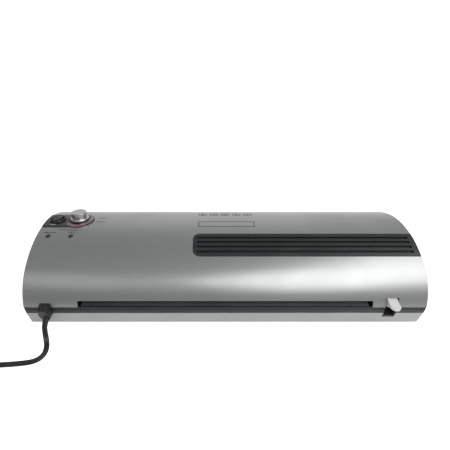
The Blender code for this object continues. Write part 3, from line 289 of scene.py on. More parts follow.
def easeStep(t):
    t = min(1.0, max(0.0, t))
    return t * t * (3 - 2 * t)


def coilPoints(perTurn):
    # clockwise: in along the lower layer, up at the middle, out along the upper layer
    x, y = lead["coilPlace"]
    inward = lead["turnsPerLayer"]
    turns = 2 * inward + (270 - lead["endAngle"]) / 360
    count = round(turns * perTurn)
    found = []
    for step in range(count + 1):
        t = turns * step / count
        sideways = t if t < inward else 2 * inward - t
        radius = lead["coilRadius"] - lead["turnPitch"] * sideways
        height = lead["floor"] + lead["layerRise"] * easeStep((t - inward + 0.35) / 0.5)
        angle = radians(270) - 2 * pi * t
        found.append(Vector((x + radius * cos(angle), y + radius * sin(angle), height)))
    return found


def leadPath():
    seen = smoothRoute(leadRoute, 3)
    coil = coilPoints(lead["pointsPerTurn"])
    last, before = coil[-1], coil[-2]
    along = (last - before).normalized()
    tail = []
    for step in range(1, lead["tailSteps"] + 1):
        t = step / lead["tailSteps"]
        place = last + along * (lead["tailLength"] - lead["plugDepth"]) * t
        place.z = last.z + (lead["plugHeight"] - last.z) * easeStep(t)
        tail.append(place)
    join = smoothRoute([seen[-1], seen[-1].lerp(coil[0], 0.5), coil[0]], 3)
    return seen[:-1] + join[:-1] + coil + tail


def twinProfile(sides=9):
    # outline of two round cores side by side with a web between them
    radius = lead["strand"]
    apart = lead["width"] / 2 - radius
    web = lead["webShare"] * radius
    start = asin(web / radius)
    right = [(apart + radius * cos(a), radius * sin(a))
             for a in (-pi + start + (2 * pi - 2 * start) * i / sides for i in range(sides + 1))]
    right = [p for p in right if p[0] > 0.15 * apart]
    left = [(-a, b) for a, b in reversed(right)]
    return right + [(0, web)] + left + [(0, -web)]


def sweepProfile(name, path, profile):
    # a closed tube: the profile's first axis stays level across the path
    points, faces = [], []
    count = len(profile)
    for index, place in enumerate(path):
        along = (path[min(index + 1, len(path) - 1)] - path[max(index - 1, 0)]).normalized()
        across = along.cross(Vector((0, 0, 1))).normalized()
        up = across.cross(along)
        points += [place + across * a + up * b for a, b in profile]
    for ring in range(len(path) - 1):
        for side in range(count):
            a, b = ring * count + side, ring * count + (side + 1) % count
            faces.append((a, b, b + count, a + count))
    faces.append(tuple(reversed(range(count))))
    faces.append(tuple(range(len(points) - count, len(points))))
    mesh = bpy.data.meshes.new(name)
    mesh.from_pydata(points, [], faces)
    made = bpy.data.objects.new(name, mesh)
    scene.collection.objects.link(made)
    layer = mesh.uv_layers.new(name="alongLead")
    reach = [0.0]
    for a, b in zip(path, path[1:]):
        reach.append(reach[-1] + (b - a).length)
    for face in mesh.polygons:
        for loop in face.loop_indices:
            point = mesh.loops[loop].vertex_index
            layer.data[loop].uv = (reach[point // count], (point % count) / count)
    return made


cordPath = leadPath()
cordLength = sum((b - a).length for a, b in zip(cordPath, cordPath[1:]))
mainsLead = sweepProfile("mainsLead", cordPath, twinProfile())
outwardNormals(mainsLead)
print("lead swept,", round(cordLength, 4), "m long")
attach(mainsLead, "case")
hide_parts("power_cord", "cord_coil")


# finishes: shared effects as node groups, then one finish for each of the object's materials


def newGroup(name, inputs, outputs):
    tree = bpy.data.node_groups.new(name, "ShaderNodeTree")
    for label, kind, value in inputs:
        socket = tree.interface.new_socket(label, in_out="INPUT", socket_type="NodeSocket" + kind)
        if kind == "Float":
            socket.default_value = value
    for label, kind in outputs:
        tree.interface.new_socket(label, in_out="OUTPUT", socket_type="NodeSocket" + kind)
    return tree, tree.nodes.new("NodeGroupInput"), tree.nodes.new("NodeGroupOutput")


def putNode(tree, kind, links=(), **settings):
    # one node, its settings, and the links or values that go into its inputs
    node = tree.nodes.new("ShaderNode" + kind)
    for key, value in settings.items():
        setattr(node, key, value)
    for label, source in dict(links).items():
        if hasattr(source, "is_linked"):
            tree.links.new(source, node.inputs[label])
        else:
            node.inputs[label].default_value = source
    return node


def mathNode(tree, operation, first, second=0.0, clamp=False):
    node = putNode(tree, "Math", operation=operation, use_clamp=clamp)
    for socket, source in zip(node.inputs, (first, second)):
        if hasattr(source, "is_linked"):
            tree.links.new(source, socket)
        else:
            socket.default_value = source
    return node.outputs[0]


def spread(tree, value, low=0.0, high=1.0, first=0.0, last=1.0, **settings):
    # a value's span, low to high, becomes the span first to last
    return putNode(tree, "MapRange", {"Value": value, "From Min": low, "From Max": high, "To Min": first,
                                      "To Max": last}, **settings).outputs[0]


def noise(tree, place, scale, detail, **inputs):
    return putNode(tree, "TexNoise", {"Vector": place, "Scale": scale, "Detail": detail, **inputs}).outputs["Fac"]


def mixColours(tree, share, first, second):
    node = putNode(tree, "Mix", data_type="RGBA")
    for socket, source in ((node.inputs[0], share), (node.inputs[6], first), (node.inputs[7], second)):
        if hasattr(source, "is_linked"):
            tree.links.new(source, socket)
        else:
            socket.default_value = source
    return node.outputs[2]


def makeMouldedGrain():
    # the fine even grain of a moulded or painted skin
    tree, given, result = newGroup("mouldedGrain", [("Place", "Vector", 0), ("Grain Size", "Float", 0.0005)],
                                   [("Height", "Float"), ("Flecks", "Float")])
    place = given.outputs["Place"]
    per = mathNode(tree, "DIVIDE", 1.0, given.outputs["Grain Size"])
    cells = putNode(tree, "TexVoronoi", {"Vector": place, "Scale": per})
    height = mathNode(tree, "MULTIPLY_ADD", noise(tree, place, per, 3.0, Roughness=0.6), 0.7)
    height.node.inputs[2].default_value = 0.15
    both = mathNode(tree, "ADD", height, mathNode(tree, "MULTIPLY", cells.outputs["Distance"], 0.3))
    tree.links.new(both, result.inputs["Height"])
    flecks = putNode(tree, "SeparateColor", {"Color": cells.outputs["Color"]}).outputs[0]
    tree.links.new(flecks, result.inputs["Flecks"])
    return tree


def makeHandledPatches():
    # broad soft patches where hands and dust have changed the sheen, 0 to 1
    tree, given, result = newGroup("handledPatches", [("Place", "Vector", 0), ("Patch Size", "Float", 0.05)],
                                   [("Patches", "Float")])
    per = mathNode(tree, "DIVIDE", 1.0, given.outputs["Patch Size"])
    cloud = noise(tree, given.outputs["Place"], per, 5.0, Distortion=0.4)
    patches = spread(tree, cloud, 0.34, 0.66, interpolation_type="SMOOTHSTEP")
    tree.links.new(patches, result.inputs["Patches"])
    return tree


def makeSettledDust():
    # a thin broken film on faces that look up
    tree, given, result = newGroup("settledDust", [("Place", "Vector", 0), ("Amount", "Float", 0.1)],
                                   [("Dust", "Float")])
    facing = putNode(tree, "SeparateXYZ", {"Vector": putNode(tree, "NewGeometry").outputs["Normal"]})
    upward = spread(tree, facing.outputs["Z"], 0.35, 1.0)
    broken = spread(tree, noise(tree, given.outputs["Place"], 420.0, 6.0, Roughness=0.75), 0.42, 0.75)
    film = mathNode(tree, "MULTIPLY", upward, broken)
    tree.links.new(mathNode(tree, "MULTIPLY", film, given.outputs["Amount"]), result.inputs["Dust"])
    return tree


def makeEdgeWear():
    # how strongly a place is a rubbed edge: where a rounded normal leaves the true one
    tree, given, result = newGroup("edgeWear", [("Place", "Vector", 0), ("Amount", "Float", 0.5)],
                                   [("Wear", "Float")])
    rounded = putNode(tree, "Bevel", {"Radius": 0.0005}, samples=4)
    true = putNode(tree, "NewGeometry").outputs["Normal"]
    near = putNode(tree, "VectorMath", operation="DOT_PRODUCT")
    tree.links.new(rounded.outputs[0], near.inputs[0])
    tree.links.new(true, near.inputs[1])
    edge = spread(tree, near.outputs["Value"], 0.995, 0.86)
    patchy = spread(tree, noise(tree, given.outputs["Place"], 160.0, 4.0), 0.4, 0.65)
    both = mathNode(tree, "MULTIPLY", edge, patchy)
    tree.links.new(mathNode(tree, "MULTIPLY", both, given.outputs["Amount"], clamp=True), result.inputs["Wear"])
    return tree


def makeTurnedRings():
    # fine rings left by turning, about the local Z axis
    tree, given, result = newGroup("turnedRings", [("Place", "Vector", 0), ("Pitch", "Float", 0.0003)],
                                   [("Height", "Float"), ("Streak", "Float")])
    axes = putNode(tree, "SeparateXYZ", {"Vector": given.outputs["Place"]})
    square = mathNode(tree, "ADD", mathNode(tree, "MULTIPLY", axes.outputs[0], axes.outputs[0]),
                      mathNode(tree, "MULTIPLY", axes.outputs[1], axes.outputs[1]))
    reach = mathNode(tree, "DIVIDE", mathNode(tree, "SQRT", square), given.outputs["Pitch"])
    rise = mathNode(tree, "DIVIDE", axes.outputs[2], given.outputs["Pitch"])
    flat = putNode(tree, "CombineXYZ", {"X": reach, "Y": rise})
    rings = noise(tree, flat.outputs[0], 1.0, 3.0)
    tree.links.new(rings, result.inputs["Height"])
    tree.links.new(rings, result.inputs["Streak"])
    return tree


groups = {
    "grain": makeMouldedGrain(),
    "patches": makeHandledPatches(),
    "dust": makeSettledDust(),
    "wear": makeEdgeWear(),
    "rings": makeTurnedRings(),
}


def groupNode(tree, kind, **values):
    node = tree.nodes.new("ShaderNodeGroup")
    node.node_tree = groups[kind]
    for label, source in values.items():
        socket = node.inputs[label.replace("_", " ")]
        if hasattr(source, "is_linked"):
            tree.links.new(source, socket)
        else:
            socket.default_value = source
    return node.outputs


finishes = {
    "silverPaint": dict(colour=(0.395, 0.405, 0.403), other=(0.372, 0.380, 0.378), rough=0.31, roughOther=0.36,
                        metal=0.72, coat=0.25, coatRough=0.3, grain=0.45 * mm, depth=0.010 * mm, patch=70 * mm,
                        flecks=0.10, dust=0.05, wear=0.35, worn=(0.56, 0.56, 0.55)),
    "trimPlastic": dict(colour=(0.011, 0.016, 0.017), other=(0.017, 0.023, 0.024), rough=0.40, roughOther=0.52,
                        grain=0.55 * mm, depth=0.03 * mm, patch=40 * mm, dust=0.05, wear=0.3,
                        worn=(0.06, 0.065, 0.065)),
    # painted shade: a near-black finish that stands for the shade deep in the vent's grooves
    "grooveShadePaint": dict(colour=(0.003, 0.004, 0.004), other=(0.005, 0.006, 0.006), rough=0.6, roughOther=0.75,
                        grain=0.55 * mm, depth=0.03 * mm, patch=30 * mm, dust=0.03),
    "guidePlastic": dict(colour=(0.040, 0.054, 0.053), other=(0.052, 0.066, 0.065), rough=0.38, roughOther=0.5,
                         grain=0.5 * mm, depth=0.02 * mm, patch=60 * mm, dust=0.12, wear=0.3,
                         worn=(0.12, 0.13, 0.13)),
    "panelPrint": dict(colour=(0.012, 0.015, 0.015), other=(0.018, 0.021, 0.021), rough=0.26, roughOther=0.36,
                       coat=0.15, coatRough=0.08, grain=0.3 * mm, depth=0.004 * mm, patch=15 * mm, dust=0.08,
                       wear=0.2, worn=(0.1, 0.1, 0.1)),
    "switchPlastic": dict(colour=(0.012, 0.016, 0.015), other=(0.02, 0.024, 0.023), rough=0.3, roughOther=0.42,
                          grain=0.35 * mm, depth=0.012 * mm, patch=6 * mm, dust=0.08, wear=0.3,
                          worn=(0.09, 0.09, 0.09)),
    "maroonPrint": dict(colour=(0.20, 0.085, 0.10), other=(0.28, 0.15, 0.16), rough=0.3, roughOther=0.4, coat=0.4,
                        coatRough=0.1, grain=0.3 * mm, depth=0.003 * mm, patch=8 * mm),
    "whitePrint": dict(colour=(0.62, 0.63, 0.62), other=(0.52, 0.53, 0.52), rough=0.4, roughOther=0.5,
                       grain=0.2 * mm, depth=0.003 * mm, patch=3 * mm),
    "greenPrint": dict(colour=(0.10, 0.17, 0.16), other=(0.08, 0.13, 0.125), rough=0.4, roughOther=0.5,
                       grain=0.2 * mm, depth=0.003 * mm, patch=3 * mm),
    "greyPrint": dict(colour=(0.030, 0.029, 0.028), other=(0.05, 0.048, 0.046), rough=0.5, roughOther=0.6,
                      grain=0.2 * mm, depth=0.003 * mm, patch=2 * mm),
    "bluePrint": dict(colour=(0.030, 0.033, 0.06), other=(0.045, 0.048, 0.08), rough=0.5, roughOther=0.6,
                      grain=0.2 * mm, depth=0.003 * mm, patch=2 * mm),
    "ivoryPlastic": dict(colour=(0.74, 0.755, 0.72), other=(0.68, 0.69, 0.64), rough=0.32, roughOther=0.42,
                         subsurface=0.08, grain=0.6 * mm, depth=0.012 * mm, patch=12 * mm, dust=0.1, wear=0.2,
                         worn=(0.62, 0.60, 0.52)),
    "naturalNylon": dict(colour=(0.72, 0.70, 0.62), other=(0.66, 0.63, 0.54), rough=0.4, roughOther=0.5,
                         subsurface=0.06, grain=0.6 * mm, depth=0.01 * mm, patch=10 * mm, dust=0.1),
    "zincSteel": dict(colour=(0.58, 0.59, 0.6), other=(0.48, 0.48, 0.47), rough=0.28, roughOther=0.42, metal=1.0,
                      grain=1.2 * mm, depth=0.008 * mm, patch=14 * mm, flecks=0.12, wear=0.3,
                      worn=(0.72, 0.72, 0.71)),
    "siliconeRubber": dict(colour=(0.42, 0.085, 0.04), other=(0.36, 0.07, 0.035), rough=0.5, roughOther=0.64,
                           grain=0.4 * mm, depth=0.02 * mm, patch=30 * mm, dust=0.2),
    "millAluminium": dict(colour=(0.66, 0.66, 0.66), other=(0.58, 0.57, 0.56), rough=0.34, roughOther=0.46,
                          metal=1.0, grain=0.8 * mm, depth=0.01 * mm, patch=25 * mm, flecks=0.08),
    "footRubber": dict(colour=(0.022, 0.022, 0.022), other=(0.04, 0.039, 0.037), rough=0.68, roughOther=0.85,
                       grain=0.5 * mm, depth=0.03 * mm, patch=6 * mm, dust=0.2),
    "leadPlastic": dict(colour=(0.008, 0.008, 0.009), other=(0.013, 0.013, 0.014), rough=0.30, roughOther=0.46,
                        grain=0.4 * mm, depth=0.01 * mm, patch=18 * mm, dust=0.1),
    "plainBrass": dict(colour=(0.62, 0.44, 0.19), other=(0.5, 0.34, 0.14), rough=0.26, roughOther=0.4, metal=1.0,
                       grain=0.8 * mm, depth=0.006 * mm, patch=8 * mm, wear=0.3, worn=(0.75, 0.58, 0.3)),
    "boardLacquer": dict(colour=(0.02, 0.11, 0.045), other=(0.03, 0.15, 0.06), rough=0.3, roughOther=0.42,
                         coat=0.4, coatRough=0.15, grain=0.5 * mm, depth=0.01 * mm, patch=5 * mm, flecks=0.1),
    "relayPlastic": dict(colour=(0.02, 0.05, 0.22), other=(0.03, 0.06, 0.26), rough=0.35, roughOther=0.45,
                         grain=0.5 * mm, depth=0.01 * mm, patch=10 * mm, wear=0.2, worn=(0.1, 0.14, 0.3)),
    "motorSteel": dict(colour=(0.5, 0.5, 0.48), other=(0.42, 0.41, 0.38), rough=0.3, roughOther=0.45, metal=1.0,
                       grain=1.5 * mm, depth=0.02 * mm, patch=12 * mm, flecks=0.15, wear=0.3,
                       worn=(0.7, 0.7, 0.68)),
    "smokedLens": dict(colour=(0.010, 0.012, 0.012), other=(0.016, 0.018, 0.018), rough=0.08, roughOther=0.14,
                       coat=0.8, coatRough=0.04, grain=0.3 * mm, depth=0.002 * mm, patch=2 * mm),
}


def newMaterial(name):
    made = bpy.data.materials.new(name)
    made.use_nodes = True
    return made, made.node_tree, made.node_tree.nodes["Principled BSDF"]


def wireSkin(tree, shader, shade, sheen, height, depth):
    bump = putNode(tree, "Bump", {"Height": height, "Distance": depth, "Strength": 1.0})
    tree.links.new(shade, shader.inputs["Base Color"])
    tree.links.new(sheen, shader.inputs["Roughness"])
    tree.links.new(bump.outputs[0], shader.inputs["Normal"])


dustColour = (0.42, 0.41, 0.39, 1)
fleckLight = 1.5            # how much lighter a fleck is than its finish


def makeFinish(name, colour, other, rough, roughOther, grain, depth, patch, metal=0.0, coat=0.0, coatRough=0.1,
               subsurface=0.0, flecks=0.0, dust=0.0, wear=0.0, worn=(0.5, 0.5, 0.5)):
    made, tree, shader = newMaterial(name)
    place = putNode(tree, "TexCoord").outputs["Object"]
    skin = groupNode(tree, "grain", Place=place, Grain_Size=grain)
    patches = groupNode(tree, "patches", Place=place, Patch_Size=patch)["Patches"]
    shade = mixColours(tree, patches, (*colour, 1), (*other, 1))
    if flecks:
        light = tuple(min(1.0, fleckLight * c) for c in colour)
        shade = mixColours(tree, mathNode(tree, "MULTIPLY", skin["Flecks"], flecks), shade, (*light, 1))
    sheen = spread(tree, patches, first=rough, last=roughOther)
    if wear:
        rubbed = groupNode(tree, "wear", Place=place, Amount=wear)["Wear"]
        shade = mixColours(tree, rubbed, shade, (*worn, 1))
    if dust:
        film = groupNode(tree, "dust", Place=place, Amount=dust)["Dust"]
        shade = mixColours(tree, film, shade, dustColour)
        sheen = mathNode(tree, "ADD", sheen, mathNode(tree, "MULTIPLY", film, 0.6))
    wireSkin(tree, shader, shade, sheen, skin["Height"], depth)
    shader.inputs["Metallic"].default_value = metal
    shader.inputs["Coat Weight"].default_value = coat
    shader.inputs["Coat Roughness"].default_value = coatRough
    shader.inputs["Subsurface Weight"].default_value = subsurface
    shader.inputs["Subsurface Scale"].default_value = 1.5 * mm
    return made


finish = {name: makeFinish(name, **spec) for name, spec in finishes.items()}
mainsLead.data.materials.append(finish["leadPlastic"])
smoothShading(mainsLead, 50, weighted=False)
print("finishes made:", len(finish))


# the cover's section: rear shoulder, crown and front lip, each an arc between two slopes

coverShape = {
    "rearY": 1.8 * mm,
    "baseZ": 29.3 * mm,
    "rearSlope": radians(63),
    "shoulderRadius": 65.3 * mm,
    "shoulderSlope": radians(22.6),
    "crownEnd": (162.69 * mm, 33.5 * mm),
    "lipRadius": 6 * mm,
    "lipSlope": radians(-84),
    "wall": 2.4 * mm,
    "endRound": 1.0 * mm,
    "step": radians(2.4),
    "edge": 0.25 * mm,
}
posts = {
    "endGap": 9 * mm,
    "rear": 14.5 * mm,
    "frontGap": 22 * mm,
    "radius": 4 * mm,
    "bore": 1.8 * mm,
    "boreReach": 24 * mm,
    "foot": 3 * mm,
    "below": 4 * mm,             # from a post's top to the cover's outer face
}
slots = {
    "half": 168 * mm,
    "exitTop": 36 * mm,
    "feedTop": 40 * mm,
    "lever": (182.8 * mm, 197 * mm),
    "leverTop": 38.9 * mm,
    "leverBottom": 12.5 * mm,
    "gland": (-211.4 * mm, -198.6 * mm),
    "glandTop": 33.6 * mm,
    "glandBase": 18 * mm,
    "rearReach": (-5 * mm, 8 * mm),      # how far the rear recesses go in
    "exitReach": (-10 * mm, 25 * mm),
    "feedReach": 30 * mm,
    "past": 5 * mm,                      # how far a cutter stands past what it cuts
}
vent = {
    "left": -37.4 * mm,
    "span": (48 * mm, 81 * mm),
    "corner": 8 * mm,
    "thickness": 3.6 * mm,
    "drop": 0.2 * mm,
    "grooves": 4,
    "grooveWidth": 3.2 * mm,
    "grooveDepth": 2.3 * mm,
    "frame": 4.5 * mm,
    "rightRim": 7 * mm,
    "flange": 3 * mm,
    "flangeThickness": 1.4 * mm,
    "gap": 0.3 * mm,
    "edge": 0.35 * mm,
    "paintedShadeFrom": 0.7 * mm,        # below the cover's face, where the painted shade in the grooves starts
}


def arcStart(point, radius, slope):
    return (point[0] + radius * sin(slope), point[1] - radius * cos(slope))


def arcPlace(centre, radius, slope):
    return (centre[0] - radius * sin(slope), centre[1] + radius * cos(slope))


def sectionArcs():
    # centre, radius, first and last slope of each arc, rear to front
    s = coverShape
    shoulder = arcStart((s["rearY"], s["baseZ"]), s["shoulderRadius"], s["rearSlope"])
    begin = arcPlace(shoulder, s["shoulderRadius"], s["shoulderSlope"])
    run, rise = s["crownEnd"][0] - begin[0], s["crownEnd"][1] - begin[1]
    frontSlope = 2 * atan2(rise, run) - s["shoulderSlope"]
    radius = hypot(run, rise) / (2 * sin((s["shoulderSlope"] - frontSlope) / 2))
    return [(shoulder, s["shoulderRadius"], s["rearSlope"], s["shoulderSlope"]),
            (arcStart(begin, radius, s["shoulderSlope"]), radius, s["shoulderSlope"], frontSlope),
            (arcStart(s["crownEnd"], s["lipRadius"], frontSlope), s["lipRadius"], frontSlope, s["lipSlope"])]


arcs = sectionArcs()


def slopeAt(y):
    for centre, radius, first, last in arcs:
        if y <= centre[0] - radius * sin(last):
            break
    return asin((centre[0] - y) / radius)


def coverSpot(x, y, lift=0.0):
    # place on the cover's outer face, moved outward, and the outward direction there
    slope = slopeAt(y)
    for centre, radius, first, last in arcs:
        if slope >= last - 1e-9:
            break
    out = Vector((0, -sin(slope), cos(slope)))
    return caseAt(x, *arcPlace(centre, radius, slope)) + out * lift, out


def spinAlong(first, last):
    # spin what is selected about the section's arcs, from one slope to another
    for centre, radius, top, bottom in arcs:
        start, end = min(first, top), max(last, bottom)
        if start - end < 1e-6:
            continue
        bpy.ops.mesh.spin(steps=max(1, ceil((start - end) / coverShape["step"])), angle=start - end,
                          center=caseAt(0, *centre), axis=(1, 0, 0))


def closeUp(piece):
    makeActive(piece)
    bpy.ops.object.mode_set(mode="EDIT")
    bpy.ops.mesh.select_all(action="SELECT")
    bpy.ops.mesh.remove_doubles(threshold=0.005 * mm)
    bpy.ops.mesh.fill_holes(sides=0)
    bpy.ops.mesh.normals_make_consistent(inside=False)
    leaveEdit()


def coverBlock(name, halfX, inward, floorZ):
    # the solid under the cover's section: a floor plate, its rear edge raised and spun over to the front
    first, lastArc = arcs[0], arcs[-1]
    rear = arcPlace(first[0], first[1] - inward, first[2])
    front = arcPlace(lastArc[0], lastArc[1] - inward, lastArc[3])
    deselectAll()
    bpy.ops.mesh.primitive_plane_add(size=1, location=caseAt(0, (rear[0] + front[0]) / 2, floorZ))
    made = sizeNew(name, (2 * halfX, front[0] - rear[0], 1))
    rearSide = caseAt(0, rear[0], 0).y + hair
    pickEdges(made, lambda a, b: max(a.y, b.y) < rearSide)
    if rear[1] - floorZ > hair:
        bpy.ops.mesh.extrude_region_move(TRANSFORM_OT_translate={"value": (0, 0, rear[1] - floorZ)})
    spinAlong(first[2], lastArc[3])
    bpy.ops.mesh.extrude_region_move(TRANSFORM_OT_translate={"value": (0, 0, floorZ - front[1])})
    leaveEdit()
    closeUp(made)
    return made


def coverStrip(name, xSpan, ySpan, low, high):
    # a band that follows the cover, between two depths and two offsets from its outer face
    first, last = slopeAt(ySpan[0]), slopeAt(ySpan[1])
    place, out = coverSpot((xSpan[0] + xSpan[1]) / 2, ySpan[0], (low + high) / 2)
    deselectAll()
    bpy.ops.mesh.primitive_plane_add(size=1, location=place, rotation=(pi / 2 + first, 0, 0))
    made = sizeNew(name, (xSpan[1] - xSpan[0], high - low, 1))
    pickFaces(made, lambda middle, normal: True)
    spinAlong(first, last)
    leaveEdit()
    closeUp(made)
    return made


def caseBlock(name, x, y, z):
    return block(name, caseAt(x[0], y[0], z[0]), caseAt(x[1], y[1], z[1]))


def ventPrism(grow):
    # the vent's outline seen from above, standing through the crown, rounded at its left corners
    rear, front = vent["span"][0] - grow, vent["span"][1] + grow
    left = vent["left"] - grow
    made = caseBlock("ventPrism", (left, halfLength + slots["past"]), (rear, front), (40 * mm, 95 * mm))
    leftSide = left + hair
    pickEdges(made, lambda a, b: max(a.x, b.x) < leftSide and abs(a.z - b.z) > 10 * mm)
    roundPicked(vent["corner"] + grow, 10)
    return made


def screwSpots():
    return [(side * (halfLength - posts["endGap"]), y) for side in (-1, 1)
            for y in (posts["rear"], caseDepth - posts["frontGap"])]


controls = {
    "knob": (-187 * mm, 113 * mm),
    "switch": (-214.5 * mm, 110.5 * mm),
    "lights": {"power_led": (-215 * mm, 77 * mm), "ready_led": (-187.3 * mm, 77 * mm)},
    "shaftHole": 3.6 * mm,
    "switchHole": 9.1 * mm,
    "lightHole": 2.7 * mm,
    "drill": 16 * mm,
}


def drillControls(skin, lights=()):
    holes = [(controls["knob"], "shaftHole", 32), (controls["switch"], "switchHole", 64)]
    for spot, hole, sides in holes + [(light, "lightHole", 32) for light in lights]:
        cutAway(skin, barrel(hole, *coverSpot(*spot), controls[hole], controls["drill"], sides))


def makeCover():
    s, c = coverShape, slots
    shell = coverBlock("coverShell", halfLength, 0, s["baseZ"])
    lowEdge = caseAt(0, 0, s["baseZ"]).z + hair
    endSide = halfLength - hair
    pickEdges(shell, lambda a, b: min(abs(a.x), abs(b.x)) > endSide and a.x * b.x > 0 and max(a.z, b.z) > lowEdge)
    roundPicked(s["endRound"], 4)
    cutAway(shell, coverBlock("coverRoom", halfLength - s["wall"], s["wall"], s["baseZ"] - 10 * mm))
    below, middle = s["baseZ"] - c["past"], (-c["half"], c["half"])
    feedSide = (caseDepth - c["feedReach"], caseDepth + c["past"])
    cutAway(shell, caseBlock("exitSlot", middle, c["exitReach"], (below, c["exitTop"])))
    cutAway(shell, caseBlock("feedSlot", middle, feedSide, (below, c["feedTop"])))
    cutAway(shell, caseBlock("leverSlot", c["lever"], c["exitReach"], (below, c["leverTop"])))
    cutAway(shell, caseBlock("glandNotch", c["gland"], c["rearReach"], (below, c["glandTop"])))
    deep = -vent["drop"] - vent["thickness"] - vent["gap"]
    window = coverStrip("ventWindow", (vent["left"] - 5 * mm, halfLength + 5 * mm),
                        (vent["span"][0] - 2 * mm, vent["span"][1] + 2 * mm), deep, 4 * mm)
    cutAway(window, ventPrism(vent["gap"]), operation="INTERSECT")
    cutAway(shell, window)
    drillControls(shell, controls["lights"].values())
    softenEdges(shell, s["edge"], 2, 40)
    for x, y in screwSpots():
        top = coverSpot(x, y)[0].z - baseZ - posts["below"]
        foot, reach = posts["foot"], posts["boreReach"]
        post = barrel("coverBoss", caseAt(x, y, (top + foot) / 2), (0, 0, 1), posts["radius"], top - foot, 32)
        cutAway(post, barrel("bossBore", caseAt(x, y, reach / 2), (0, 0, 1), posts["bore"], reach, 24))
        cutAway(shell, post, operation="UNION")
    smoothShading(shell)
    dressPiece(shell, "cover_shell", "case", "silver_shell", finish["silverPaint"])
    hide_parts("top_cover")


makeCover()
print("cover made")


tray = {
    "wall": 2.4 * mm,
    "round": 2 * mm,
    "rim": 0.45 * mm,
    "height": 20.4 * mm,
    "floorVents": 8,
    "ventLength": 24 * mm,
    "ventSpan": (62 * mm, 66 * mm),
    "ventRound": 1.9 * mm,
    "filmWidth": 330 * mm,
}


def makeTray():
    wall, past = tray["wall"], slots["past"]
    over = tray["height"] + past
    shell = caseBlock("lowerTray", (-halfLength, halfLength), (0, caseDepth), (0, tray["height"]))
    topSide = caseAt(0, 0, tray["height"]).z - hair
    pickEdges(shell, lambda a, b: min(a.z, b.z) < topSide)
    roundPicked(tray["round"], 5)
    cutAway(shell, caseBlock("trayRoom", (-halfLength + wall, halfLength - wall), (wall, caseDepth - wall),
                             (wall, over)))
    cutAway(shell, caseBlock("leverRecess", slots["lever"], slots["rearReach"], (slots["leverBottom"], over)))
    cutAway(shell, caseBlock("glandRecess", slots["gland"], slots["rearReach"], (slots["glandBase"], over)))
    for x, y in screwSpots():
        cutAway(shell, barrel("screwHole", caseAt(x, y, 0), (0, 0, 1), posts["bore"], posts["boreReach"] / 2, 24))
    pitch = tray["filmWidth"] / tray["floorVents"]
    reach = tray["ventLength"] / 2
    for index in range(tray["floorVents"]):
        x = -tray["filmWidth"] / 2 + (index + 0.5) * pitch
        opening = caseBlock("floorVent", (x - reach, x + reach), tray["ventSpan"], (-past, past))
        pickEdges(opening, lambda a, b: abs(a.z - b.z) > past)
        roundPicked(tray["ventRound"], 6)
        cutAway(shell, opening)
    softenEdges(shell, tray["rim"], 3, 50)
    smoothShading(shell)
    dressPiece(shell, "lower_tray", "case", "silver_shell", finish["silverPaint"])
    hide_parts("bottom_case")


makeTray()
print("tray made")


def makeVent():
    top = -vent["drop"]
    body = coverStrip("ventInsert", (vent["left"] - slots["past"], halfLength), vent["span"],
                      top - vent["thickness"], top)
    cutAway(body, ventPrism(0), operation="INTERSECT")
    under = -coverShape["wall"] - vent["gap"]
    brim = coverStrip("ventFlange", (vent["left"] - vent["flange"], halfLength - coverShape["wall"] - vent["gap"]),
                      (vent["span"][0] - vent["flange"], vent["span"][1] + vent["flange"]),
                      under - vent["flangeThickness"], under)
    cutAway(body, brim, operation="UNION")
    room = vent["span"][1] - vent["span"][0] - 2 * vent["frame"]
    pitch = (room + vent["grooveWidth"]) / vent["grooves"]
    for index in range(vent["grooves"]):
        y = vent["span"][0] + vent["frame"] + index * pitch
        cutAway(body, coverStrip("ventGroove", (vent["left"] + vent["frame"], halfLength - vent["rightRim"]),
                                 (y, y + vent["grooveWidth"]), top - vent["grooveDepth"], top + 2 * mm))
    softenEdges(body, vent["edge"], 3, 40)
    smoothShading(body)
    dressPiece(body, "vent_ribs", "case", "black_trim", finish["trimPlastic"], finish["grooveShadePaint"])
    # faces deep in the grooves take the painted shade finish, darker than the ribs, standing for the shade that
    # falls in them
    for face in body.data.polygons:
        spot = coverSpot(face.center.x, face.center.y - rearY)[0]
        face.material_index = int(vent["paintedShadeFrom"] < spot.z - face.center.z < vent["grooveDepth"] + 0.6 * mm)
    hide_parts("vent_insert")


makeVent()
print("vent insert made")


# control overlay and its printing

overlay = {
    "span": (94.5 * mm, 127 * mm),
    "endRadius": 19.5 * mm,
    "low": 0.3 * mm,
    "thickness": 0.8 * mm,
    "leftGap": 1.2 * mm,
    "edge": 0.2 * mm,
}


def makeOverlay():
    rear, front = overlay["span"]
    middle, reach = (rear + front) / 2, (front - rear) / 2
    right = controls["knob"][0] + overlay["endRadius"]
    sheet = coverStrip("controlOverlay", (-halfLength + overlay["leftGap"], right + 2 * mm), overlay["span"],
                       overlay["low"], overlay["low"] + overlay["thickness"])
    straight = caseBlock("overlayStraight", (-halfLength - 1 * mm, controls["knob"][0]), (rear, front),
                         (35 * mm, 95 * mm))
    deselectAll()
    bpy.ops.mesh.primitive_cylinder_add(vertices=96, radius=1, depth=60 * mm,
                                        location=caseAt(controls["knob"][0], middle, 65 * mm))
    rounded = sizeNew("overlayEnd", (overlay["endRadius"], reach, 1))
    cutAway(straight, rounded, operation="UNION")
    cutAway(sheet, straight, operation="INTERSECT")
    drillControls(sheet)
    softenEdges(sheet, overlay["edge"], 2, 40)
    smoothShading(sheet)
    dressPiece(sheet, "control_overlay", "case", "panel_print", finish["panelPrint"])
    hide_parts("control_panel")


makeOverlay()
print("overlay made")


